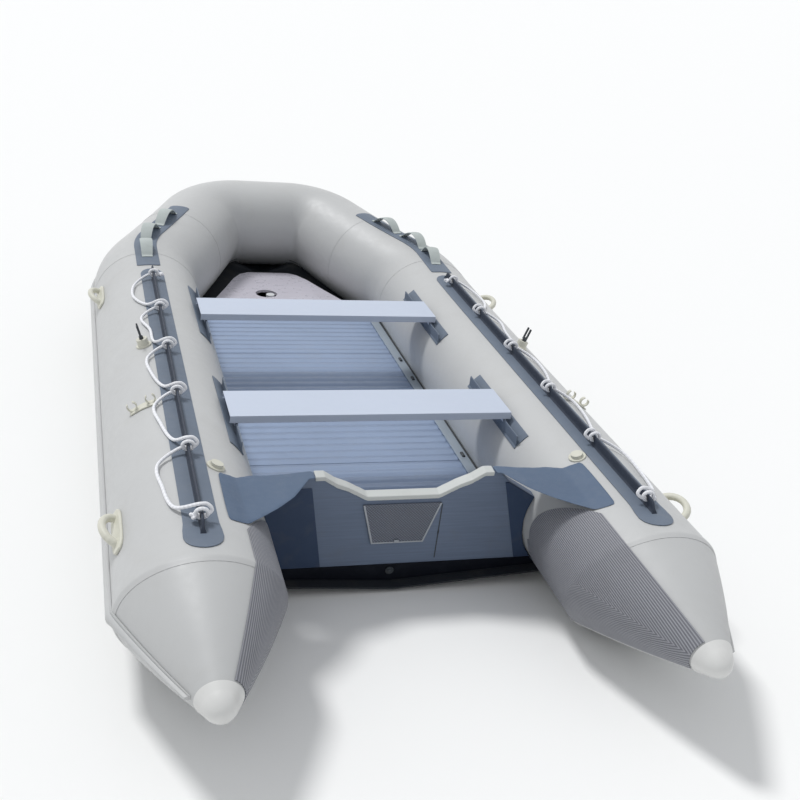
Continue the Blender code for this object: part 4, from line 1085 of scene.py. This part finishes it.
def addRopeStrips(setup):
    girth = hullShape["radius"]

    def alongStrip(v):
        # close rows in the rounded ends, even rows between
        bulbEnd = setup["aft"] + setup["bulbLength"]
        tip = setup["end"] - setup["tipLength"]
        bulbRows, tipRows, power = setup["bulbRows"], setup["tipRows"], setup["crowding"]
        if v < bulbRows:
            return setup["aft"] + setup["bulbLength"] * (v / bulbRows) ** power
        if v > 1 - tipRows:
            return tip + setup["tipLength"] * (1 - ((1 - v) / tipRows) ** power)
        return bulbEnd + (tip - bulbEnd) * (v - bulbRows) / (1 - tipRows - bulbRows)

    def place(u, v):
        station = alongStrip(v)
        half = max(setup["narrowest"], stripHalf(station, setup))
        return onTube(station, 90 + math.degrees((0.5 - u) * 2 * half / girth), setup["lift"])

    strip = patch("starboardRopeStrip", *setup["grid"], place, setup["thickness"], setup["bevel"])
    bothSides(strip, "RopeStrip", "slateFabric", ["rope_strip"], "pvc_slate", 40)

    def finPlace(u, v):
        # the fin ramps up at its ends and flares out at its foot
        station = setup["finStart"] + (setup["finEnd"] - setup["finStart"]) * v
        rise = min(1, (station - setup["finStart"]) / setup["finRamp"],
                   (setup["finEnd"] - station) / setup["finRamp"])
        height = max(setup["finLowest"], setup["finHeight"] * math.sin(rise * math.pi / 2))
        across, up = standingOutline(u, setup["finHalf"], height)
        across *= 1 + setup["flare"] * max(0, 1 - up / setup["flareHeight"])
        return onTube(station, 90 - math.degrees(across / girth), setup["finFoot"] + max(0, up))

    fin = wrapGrid("starboardRopeFin", standingSetup["sides"], setup["finRows"], finPlace)
    closeShell(fin)
    eyelets = [onTube(station, 90, setup["finFoot"] + setup["eyeletHeight"])
               for station in eyeletStations(lifelineSetup)]
    sideways = (0, math.pi / 2, 0)
    holes = []
    for middle in eyelets:
        deselectAll()
        bpy.ops.mesh.primitive_cylinder_add(location=middle, rotation=sideways, **setup["hole"])
        holes.append(bpy.context.object)
    cutter = joinPieces(holes, "eyeletCutter")
    addModifier(fin, "BOOLEAN", operation="DIFFERENCE", solver="EXACT", object=cutter)
    bpy.data.objects.remove(cutter)
    # the fin's darker finish is painted shade
    bothSides(fin, "RopeFin", "finFabric", (), "pvc_slate", 40)
    rings = [addRing(middle, sideways, **setup["grommet"]) for middle in eyelets]
    grommets = joinPieces(rings, "starboardGrommets")
    bothSides(grommets, "Grommets", "darkPlastic", (), "plastic_dark", 60)


addRopeStrips(stripSetup)
print("rope strips done")


# Rub strakes: a moulded profile along the outboard side and round the bow

strakeSetup = {
    "width": 0.056,
    "height": 0.015,
    "lift": 0.0006,
    "coneShare": 0.90,
    "coneRows": 14,
    "tubeRows": 110,
    "profile": ((-0.50, 0.0), (-0.44, 0.38), (-0.30, 0.78), (-0.10, 1.0), (0.10, 0.92),
                (0.24, 0.55), (0.30, 0.10), (0.34, 0.32), (0.50, 0.30), (0.50, 0.0), (-0.50, 0.0)),
}


def addStrakes(setup):
    girth = hullShape["radius"]
    outline = setup["profile"]
    coneRows, tubeRows = setup["coneRows"], setup["tubeRows"]
    seam = onTube(1.0, 0)
    seamStation = seamY(seam.z) + hullShape["length"] / 2

    def place(u, v):
        share = u * (len(outline) - 1)
        number = min(int(share), len(outline) - 2)
        part = share - number
        (across, up), (nextAcross, nextUp) = outline[number:number + 2]
        across += (nextAcross - across) * part
        up += (nextUp - up) * part
        angle = math.degrees(across * setup["width"] / girth)
        lift = setup["lift"] + up * setup["height"]
        row = v * (coneRows + tubeRows)
        if row < coneRows:
            return onCone(angle, setup["coneShare"] * (1 - row / coneRows), lift)
        run = seamStation + (bowRun - seamStation) * (row - coneRows) / tubeRows
        return onTube(run, angle, lift, "run")

    shellSides("RubStrake", (len(outline) - 1) * 2, coneRows + tubeRows, place,
               "tubeFabric", ["rub_strake"], "pvc_grey", 40)


addStrakes(strakeSetup)
print("strakes done")


# Ribbed wear patches under and inside the stern cones

wearSetup = {
    "start": 123,
    "end": 222,
    "coneShare": 0.92,
    "front": 0.825,
    "thickness": 0.0026,
    "lift": 0.0006,
    "cutOuter": (0.560, 0.525),
    "cutInner": (0.430, 0.812),
    "cutBelow": 190,  # degrees, the cut corner is below this
    "shortest": 0.004,
    "grid": (66, 60),
    "coneRows": 0.5,  # share of the rows on the cone
    "coneLength": 0.354,
}


def addWearPatches(setup):
    girth = hullShape["radius"]
    narrowing = girth - coneSetup["endRadius"]
    slope = math.atan(narrowing / setup["coneLength"])
    apex = girth / math.tan(slope)
    coneRows = setup["coneRows"]

    def frontStation(x):
        (outerX, outerS), (innerX, innerS) = setup["cutOuter"], setup["cutInner"]
        return min(setup["front"], outerS + (innerS - outerS) * (outerX - x) / (outerX - innerX))

    def place(u, v):
        angle = setup["end"] - (setup["end"] - setup["start"]) * u
        if v < coneRows:
            return onCone(angle, setup["coneShare"] * (1 - v / coneRows), setup["lift"])
        start = onCone(angle, 0).y + hullShape["length"] / 2
        end = setup["front"]
        if angle < setup["cutBelow"]:
            end = frontStation(onTube(1.0, angle).x)
        end = max(start + setup["shortest"], end)
        share = (v - coneRows) / (1 - coneRows)
        return onTube(start + (end - start) * share, angle, setup["lift"])

    def ribPlace(u, v):
        # distance in metres from the nearer edge of the sheet, unrolled, so ribs meet in a mitre
        sweep = math.radians(setup["end"] - setup["start"])
        low, high = sweep * (1 - u), sweep * u
        if v < coneRows:
            slant = (apex - narrowing / math.tan(slope) * (1 - v / coneRows)) / math.cos(slope)
            low = slant * math.sin(low * math.sin(slope))
            high = slant * math.sin(high * math.sin(slope))
        else:
            low, high = low * girth, high * girth
        return (min(low, high), v)

    piece = wrapGrid("starboardWearPatch", *setup["grid"], place)
    setUv(piece, ribPlace)
    addModifier(piece, "SOLIDIFY", thickness=setup["thickness"], offset=1)
    bothSides(piece, "WearPatch", "ribbedRubber", ["wear_patch"], "plastic_dark", 40)


addWearPatches(wearSetup)
print("wear patches done")


# Carry patches on the bow shoulders with three webbing arches each

carrySetup = {
    "start": 2.690,
    "end": 3.500,
    "angle": 88,
    "width": 0.100,
    "loops": 3,
    "loopStart": 2.888,
    "loopPitch": 0.2095,
    "loopLength": 0.170,
    "loopHeight": 0.04462,
    "loopPower": 0.85,
    "loopTaken": 0.985,  # the arch takes up a little of the strap's length
    "loopWidth": 0.045,
    "foot": 0.016,
    "strap": 0.0030,
    "strapLift": 0.0034,
    "strapCrown": 0.0015,
    "strapGrid": (8, 36),
    "strapCloth": 0.22,
    "lift": 0.0006,
    "thickness": 0.0026,
    "bevel": 0.0006,
    "grid": (16, 60),
    "cornerStart": 0.55,  # where the ends begin to draw in
    "cornerPull": 0.108,
}


def addCarryHandles(setup):
    girth = hullShape["radius"]
    turn = math.degrees(setup["width"] / girth)
    startRun = lineAt(setup["start"])["run"]
    endRun = lineAt(setup["end"])["run"]

    def place(u, v):
        # a strip whose ends draw in towards its long edges
        across = (0.5 - u) * 2
        pull = max(0, abs(across) - setup["cornerStart"]) ** 2 * setup["cornerPull"]
        run = (startRun + endRun) / 2 + (endRun - startRun) * (v - 0.5) * (1 - pull)
        return onTube(run, setup["angle"] + across * turn / 2, setup["lift"], "run")

    base = patch("starboardCarryPatch", *setup["grid"], place, setup["thickness"], setup["bevel"])
    bothSides(base, "CarryPatch", "slateFabric", ["carry_handle"], "pvc_slate", 40)
    straps = []
    for number in range(setup["loops"]):
        middleRun = lineAt(setup["loopStart"] + setup["loopPitch"] * number)["run"]

        def arch(u, v, middleRun=middleRun):
            along = (v - 0.5) * (setup["loopLength"] + setup["foot"] * 2)
            part = min(1, max(0, along / setup["loopLength"] + 0.5))
            swell = math.sin(math.pi * part)
            height = setup["strapLift"] + setup["loopHeight"] * swell ** setup["loopPower"]
            height += setup["strapCrown"] * (1 - (2 * u - 1) ** 2) * swell
            angle = setup["angle"] + math.degrees((0.5 - u) * setup["loopWidth"] / girth)
            return onTube(middleRun + along * setup["loopTaken"], angle, height, "run")

        strap = wrapGrid("carryStrap", *setup["strapGrid"], arch)
        setUv(strap, lambda u, v: (u * setup["loopWidth"], v * setup["strapCloth"]))
        addModifier(strap, "SOLIDIFY", thickness=setup["strap"], offset=1)
        straps.append(strap)
    webbing = joinPieces(straps, "starboardCarryWebbing")
    bothSides(webbing, "CarryWebbing", "paleWebbing", (), "pvc_slate", 50)


addCarryHandles(carrySetup)
print("carry handles done")


# Seat rails: a fabric patch glued on the tube and an upright web with a rounded head

railSetup = {
    "places": (("Aft", 1.125, 1.640), ("Forward", 2.055, 2.590)),
    "middle": 138,
    "width": 0.066,
    "lift": 0.0006,
    "thickness": 0.0028,
    "bevel": 0.0006,
    "grid": (12, 16),
    "webX": 0.475,
    "webHalf": 0.0024,
    "webTop": 0.4131,
    "webInset": 0.004,
    "webLift": 0.002,
}


def addRails(setup):
    turn = math.degrees(setup["width"] / hullShape["radius"])
    for label, start, end in setup["places"]:
        def place(u, v, start=start, end=end):
            return onTube(start + (end - start) * v, setup["middle"] + (0.5 - u) * turn,
                          setup["lift"])

        def web(u, v, start=start + setup["webInset"], end=end - setup["webInset"]):
            here = lineAt(start + (end - start) * v)
            away = here["point"].x - setup["webX"]
            foot = here["point"].z
            foot += math.sqrt((here["radius"] + setup["webLift"]) ** 2 - away ** 2)
            across, up = standingOutline(u, setup["webHalf"], setup["webTop"] - foot)
            return Vector((setup["webX"] + across, here["point"].y, foot + up))

        base = patch("railPatch", *setup["grid"], place, setup["thickness"], setup["bevel"])
        upright = wrapGrid("railWeb", standingSetup["sides"], setup["grid"][1], web)
        closeShell(upright)
        rail = joinPieces([base, upright], "starboardSeatRail" + label)
        bothSides(rail, "SeatRail" + label, "slateFabric", ["rail_" + label.lower()],
                  "pvc_slate", 40)


addRails(railSetup)
print("rails done")


# CAD solids with softened edges, and moulded ones rounded all over

# a piece takes its node's name, apart from these words
pieceWords = {"thwart": "seat", "pin": "yoke"}


def copyNode(node):
    words = [pieceWords.get(word, word) for word in node.split("_")]
    name = words[0] + "".join(word.title() for word in words[1:])
    piece = addObject(name, cadNodes[node].data.copy())
    piece.data.materials.clear()
    mergePoints(piece, 0.00001)
    return piece


def softenNode(node, finish, slot=None, bevel=0.0, segments=2, body="hull"):
    piece = copyNode(node)
    editAll(piece)
    bpy.ops.mesh.dissolve_limited(angle_limit=math.radians(0.6))
    leaveEdit()
    if bevel:
        addModifier(piece, "BEVEL", width=bevel, segments=segments, limit_method="ANGLE",
                    angle_limit=math.radians(30), use_clamp_overlap=True)
    finishPiece(piece, finish, body, [node], slot)
    addModifier(piece, "WEIGHTED_NORMAL", weight=80, keep_sharp=True)


def mouldNode(node, finish, slot, voxel, passes=6, swell=0.0, stretch=None):
    piece = copyNode(node)
    addModifier(piece, "REMESH", mode="VOXEL", voxel_size=voxel)
    if swell:
        addModifier(piece, "DISPLACE", strength=swell, mid_level=0)
    addModifier(piece, "SMOOTH", factor=0.5, iterations=passes)
    finishPiece(piece, finish, "hull", [node], slot, 60)
    if stretch:
        low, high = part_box(node)
        editAll(piece)
        bpy.ops.transform.resize(value=stretch, center_override=(low + high) / 2)
        leaveEdit()


# finish and slot of each node, then how its edges are softened or how it is moulded
middleSetup = {
    "transom_board": ("boardPaint", "board_slate", {"bevel": 0.002}),
    "transom_trim": ("creamTrim", "rubber_light", {"voxel": 0.0016, "passes": 16}),
    # the band's near-black finish is partly painted shade
    "transom_band": ("navyFabric", "pvc_black", {"bevel": 0.001}),
    "motor_plate_outer": ("motorPlate", None, {"bevel": 0.001}),
    "motor_plate_inner": ("motorPlate", None, {"bevel": 0.001}),
    "hull_bottom": ("bottomFabric", "pvc_black", {}),
    "keel_tube": ("bottomFabric", "pvc_black", {}),
    "bow_board": ("bowBoardPaint", "board_pale", {"bevel": 0.0015}),
    "thwart_forward": ("seatAluminium", "aluminium_pale",
                       {"bevel": 0.0008, "body": "thwart_forward"}),
    "thwart_aft": ("seatAluminium", "aluminium_pale", {"bevel": 0.0008, "body": "thwart_aft"}),
}

handleMould = {"voxel": 0.0018, "swell": 0.0022, "stretch": (1, 1.22, 1)}

sideSetup = {
    "transom_holder": ("holderPlastic", None, {"bevel": 0.001}),
    "floor_stringer": ("railAluminium", "aluminium", {"bevel": 0.0008}),
    "oarlock_pin": ("darkPlastic", "plastic_dark",
                    {"bevel": 0.0012, "segments": 3, "body": "oarlock"}),
    "oarlock_base": ("creamRubber", "rubber_light", {"voxel": 0.0014}),
    "oar_clip": ("creamRubber", "rubber_light", {"voxel": 0.0012, "passes": 4}),
    "handle_forward": ("creamRubber", "rubber_light", handleMould),
    "handle_aft": ("creamRubber", "rubber_light", handleMould),
    "valve": ("creamRubber", "plastic_dark", {"bevel": 0.001}),
}

plugSetup = {
    "keel_valve": ("palePlastic", "plastic_cream", {"bevel": 0.001}),
    "drain_valve": ("darkPlastic", "plastic_dark", {"bevel": 0.0008}),
}

flapSetup = {
    "levels": 2,
    "passes": 6,
    "flat": (0.30, 0.30),  # the cut's width and length
    "area": 0.0557,
}


def dressNodes(setup, side=""):
    for label, (finish, slot, how) in setup.items():
        dress = mouldNode if "voxel" in how else softenNode
        if "body" in how:
            how = dict(how, body=side + how["body"])
        dress(side + label, finish, slot, **how)


def addFlap(side, setup):
    # fabric stretched from the transom's shoulder to the tube
    flap = copyNode(side + "_transom_flap")
    addModifier(flap, "SUBSURF", levels=setup["levels"], render_levels=setup["levels"],
                subdivision_type="SIMPLE")
    addModifier(flap, "SMOOTH", factor=0.5, iterations=setup["passes"])
    finishPiece(flap, "flapFabric", "hull", [side + "_transom_flap"], "pvc_slate", 50)


def addSoftened():
    dressNodes(middleSetup)
    for side in ("port", "starboard"):
        dressNodes(sideSetup, side + "_")
        addFlap(side, flapSetup)
    dressNodes(plugSetup)


addSoftened()
print("solids dressed")


# Floor panels: extruded aluminium with broad, softly rounded ribs across

floorSetup = {
    "panels": 4,
    "start": 0.922,
    "pitch": 0.51325,
    "gap": 0.003,
    "halfWidth": 0.4039,
    "top": 0.1614,
    "depth": 0.027,
    "ribs": 10,
    "ribHeight": 0.0040,
    "ribPower": 0.7,
    "ribRows": 12,
}


def addFloorPanels(setup):
    length = setup["pitch"] - setup["gap"]
    for number in range(setup["panels"]):
        start = setup["start"] + setup["pitch"] * number

        def place(u, v, start=start):
            wave = 0.5 - 0.5 * math.cos(2 * math.pi * v * setup["ribs"])
            height = setup["top"] - setup["ribHeight"] * (1 - wave ** setup["ribPower"])
            return Vector(((u - 0.5) * 2 * setup["halfWidth"], worldY(start + length * v), height))

        label = str(number + 1)
        panel = wrapGrid("floorPanel" + label, 2, setup["ribs"] * setup["ribRows"], place)
        editAll(panel)
        bpy.ops.mesh.extrude_region_move(
            TRANSFORM_OT_translate={"value": (0, 0, -setup["depth"])})
        bpy.ops.mesh.select_all(action="SELECT")
        bpy.ops.mesh.normals_make_consistent(inside=False)
        leaveEdit()
        finishPiece(panel, "floorAluminium", "hull", ["floor_panel_" + label], "aluminium", 40)


addFloorPanels(floorSetup)
print("floor done")


# Dark rubber edge on the floor stringers, and the small clips that hold the panels to them

stringerSetup = {
    "edgeMiddle": (0.4353, -0.0993, 0.1687),
    "edgeSize": (0.0062, 2.036, 0.0028),
    "edgeBevel": 0.0008,
    "clipX": 0.4164,
    "clipZ": 0.1702,
    "clipY": (0.3143, 0.1088, -0.5899),
    "clipSize": (0.013, 0.034, 0.0066),
    "clipBevel": 0.0022,
    "topShare": (0.8, 0.98, 1),
}


def softBlock(name, middle, size, bevel, topShare):
    # a moulded block: a cube with a rounded edge, a little narrower at its top
    deselectAll()
    bpy.ops.mesh.primitive_cube_add(size=1, location=middle, scale=size)
    block = bpy.context.object
    block.name = name
    bpy.ops.object.transform_apply(location=True, rotation=True, scale=True)
    editAll(block)
    bpy.ops.mesh.select_all(action="DESELECT")
    leaveEdit()
    for face in block.data.polygons:
        face.select = face.normal.z > 0.9
    bpy.ops.object.mode_set(mode="EDIT")
    bpy.ops.mesh.select_mode(type="FACE")
    bpy.ops.transform.resize(value=topShare, center_override=middle)
    bpy.ops.mesh.select_mode(type="VERT")
    leaveEdit()
    addModifier(block, "BEVEL", width=bevel, segments=3)
    return block


def addStringerDetails(setup):
    edge = softBlock("starboardStringerEdge", setup["edgeMiddle"], setup["edgeSize"],
                     setup["edgeBevel"], setup["topShare"])
    bothSides(edge, "StringerEdge", "darkPlastic", (), "plastic_dark", 50)
    clips = []
    for y in setup["clipY"]:
        clips.append(softBlock("stringerClip", (setup["clipX"], y, setup["clipZ"]),
                               setup["clipSize"], setup["clipBevel"], setup["topShare"]))
    clip = joinPieces(clips, "starboardStringerClips")
    bothSides(clip, "StringerClips", "darkPlastic", (), "plastic_dark", 50)


addStringerDetails(stringerSetup)
print("stringers done")


# Bottom fabric at the bow, up under the bow tube, and the tapes inside along the bottom's edges

bottomSetup = {
    "frontStation": 3.7087,
    "frontHalf": 0.1532,
    "keelHeight": 0.0944,
    "edgeHeight": 0.1614,
    "overlap": 0.012,
    "inside": 0.003,
    "lap": 12,
    "freeRows": 0.6,
    "lift": 0.001,
    "thickness": 0.0014,
    "apronGrid": (40, 20),
    "tapeGrid": (6, 90),
    "edgeAngle": 231.43,
    "keelClearance": 0.012,
    "tapeStart": 0.93,
    "tapeEndHeight": 0.34,
    "tapeWidth": 0.030,
    "tapeTurn": 9,
    "tapeRise": 0.0075,
    "tapeThickness": 0.001,
}


def nearestRun(point):
    # the run of the nearest place on the centre line, to 2 mm
    low = min(line, key=lambda here: (here["point"] - point).length)["run"]
    steps = [low + 0.002 * step for step in range(-25, 26)]
    return min(steps, key=lambda run: (lineAt(min(run, bowRun), "run")["point"] - point).length)


def addBowApron(setup):
    lift = setup["lift"]
    freeRows = setup["freeRows"]

    def place(u, v):
        share = abs(2 * u - 1)
        keel = setup["keelHeight"] - setup["inside"]
        start = Vector((setup["frontHalf"] * share,
                        worldY(setup["frontStation"] - setup["overlap"]),
                        keel + (setup["edgeHeight"] - setup["keelHeight"]) * share))
        run = min(bowRun, nearestRun(start))
        here = lineAt(run, "run")
        away = start - here["point"]
        out, up = away.dot(here["outboard"]), away.dot(here["up"])
        tangent = math.acos(min(1, (here["radius"] + lift) / math.hypot(out, up)))
        angle = math.degrees(math.atan2(up, out) + tangent) % 360
        if v < freeRows:
            point = start.lerp(onTube(run, angle, lift, "run"), v / freeRows)
        else:
            angle += setup["lap"] * (v - freeRows) / (1 - freeRows)
            point = onTube(run, angle, lift, "run")
        return Vector((point.x if u >= 0.5 else -point.x, point.y, point.z))

    apron = wrapGrid("bowApron", *setup["apronGrid"], place)
    addModifier(apron, "SOLIDIFY", thickness=setup["thickness"], offset=0)
    finishPiece(apron, "bottomFabric", "hull", (), "pvc_black", 50)


def addBottomTapes(setup):
    endRun = nearestRun(Vector((setup["frontHalf"], worldY(setup["frontStation"]),
                                setup["tapeEndHeight"])))

    def place(u, v):
        run = setup["tapeStart"] + (endRun - setup["tapeStart"]) * v
        edge = onTube(run, setup["edgeAngle"], setup["lift"], "run")
        keel = setup["keelClearance"] + lineAt(run, "run")["point"].z - hullShape["radius"]
        inward = Vector((-edge.x, 0, keel - edge.z)).normalized()
        raised = edge + Vector((0, 0, setup["tapeRise"]))
        if u < 0.5:
            top = onTube(run, setup["edgeAngle"] - setup["tapeTurn"], setup["lift"], "run")
            return top.lerp(raised, u * 2)
        return raised + inward * setup["tapeWidth"] * (u - 0.5) * 2

    tape = wrapGrid("starboardBottomTape", *setup["tapeGrid"], place)
    addModifier(tape, "SOLIDIFY", thickness=setup["tapeThickness"], offset=0)
    bothSides(tape, "BottomTape", "bottomFabric", (), "pvc_black", 50)


addBowApron(bottomSetup)
addBottomTapes(bottomSetup)
print("bottom closed")


# Motor plate's pale rim and lug, and the seam in the board beside it

transomSetup = {
    "station": 0.874,
    "rake": 0.082,
    "rakeHeight": 0.2,
    "seam": ((0.1335, 0.316), (0.1385, 0.102)),
    "seamGrid": (6, 60),
    "seamHalf": 0.0016,
    "seamAft": 0.0006,
    "seamThickness": 0.0012,
    "knot": (0.0012, 0.52, 0.05),  # its height, place and half length along the seam
    "rimDepth": 0.0012,
    "lug": (-0.004, 0.183, 0.0105),
    "lugSize": (0.016, 0.005, 0.010),
    "lugBevel": 0.0016,
}


def onTransom(x, height, aft=0.0):
    tilt = math.atan(transomSetup["rake"])
    y = worldY(transomSetup["station"]) + transomSetup["rake"] * transomSetup["rakeHeight"]
    return Vector((x, y - height * math.sin(tilt) - aft * math.cos(tilt),
                   height * math.cos(tilt) - aft * math.sin(tilt)))


def addTransomDetails(setup):
    plate = bpy.data.objects["motorPlateOuter"]
    aftward = (onTransom(0, 0, 1) - onTransom(0, 0, 0)).normalized()
    depths = [aftward.dot(face.center) for face in plate.data.polygons]
    plate.data.materials.append(finishes["plateRim"])
    for face, depth in zip(plate.data.polygons, depths):
        if depth > max(depths) - setup["rimDepth"]:
            face.material_index = 1

    def seamPlace(u, v):
        (topX, topZ), (lowX, lowZ) = setup["seam"]
        rise, middle, half = setup["knot"]
        bump = rise * max(0, 1 - abs(v - middle) / half)
        x = topX + (lowX - topX) * v + (u - 0.5) * 2 * (setup["seamHalf"] + bump)
        return onTransom(x, topZ + (lowZ - topZ) * v,
                         setup["seamAft"] + bump * math.sin(math.pi * u))

    seam = wrapGrid("transomSeam", *setup["seamGrid"], seamPlace)
    addModifier(seam, "SOLIDIFY", thickness=setup["seamThickness"], offset=0)
    finishPiece(seam, "darkPlastic", "hull", (), None, 50)
    deselectAll()
    bpy.ops.mesh.primitive_cube_add(size=1, location=onTransom(*setup["lug"]),
                                    rotation=(math.atan(setup["rake"]), 0, 0))
    lug = bpy.context.object
    lug.name = "motorPlateLug"
    bpy.ops.transform.resize(value=setup["lugSize"])
    bpy.ops.object.transform_apply(location=True, rotation=True, scale=True)
    addModifier(lug, "BEVEL", width=setup["lugBevel"], segments=3)
    finishPiece(lug, "plateRim", "hull", (), None, 50)


addTransomDetails(transomSetup)
print("transom details done")


# Floor, backdrop and lights

studioSetup = {
    "floorColor": (0.90, 0.90, 0.89),
    "floorRoughness": 0.9,
    "floorSize": 400,
    "floorHeight": -0.001,
    "sunStrength": 1.75,
    "sunAngle": 12,
    "sunTurn": (-26, -20, 0),
    "skyStrength": 0.66,
    "skyColor": (0.90, 0.92, 0.95, 1),
}


def addStudio(setup):
    bpy.context.scene.view_settings.view_transform = "Standard"
    world = bpy.data.worlds.new("softSky")
    bpy.context.scene.world = world
    world.use_nodes = True
    tree = world.node_tree
    background = tree.nodes["Background"]
    background.inputs["Color"].default_value = setup["skyColor"]
    background.inputs["Strength"].default_value = setup["skyStrength"]
    plain = addNode(tree, "Background", None, Color=(1, 1, 1, 1), Strength=1.0)
    path = addNode(tree, "LightPath")
    rays = path.outputs
    seen = math2(tree, "MAXIMUM", rays["Is Camera Ray"], rays["Is Transmission Ray"])
    seen = math2(tree, "MAXIMUM", seen, rays["Is Glossy Ray"])
    mixed = addNode(tree, "MixShader", {0: seen, 1: background.outputs[0], 2: plain.outputs[0]})
    tree.links.new(mixed.outputs[0], tree.nodes["World Output"].inputs["Surface"])
    lightData = bpy.data.lights.new("bowSun", "SUN")
    lightData.energy = setup["sunStrength"]
    lightData.angle = math.radians(setup["sunAngle"])
    light = addObject("bowSun", lightData)
    light.rotation_euler = [math.radians(turn) for turn in setup["sunTurn"]]
    deselectAll()
    bpy.ops.mesh.primitive_plane_add(size=setup["floorSize"],
                                     location=(0, 0, setup["floorHeight"]))
    floor = bpy.context.object
    floor.name = "studioFloor"
    mat = bpy.data.materials.new("studioFloor")
    mat.use_nodes = True
    shader = mat.node_tree.nodes["Principled BSDF"]
    shader.inputs["Base Color"].default_value = (*setup["floorColor"], 1)
    shader.inputs["Roughness"].default_value = setup["floorRoughness"]
    floor.data.materials.append(mat)


addStudio(studioSetup)
print("studio ready")
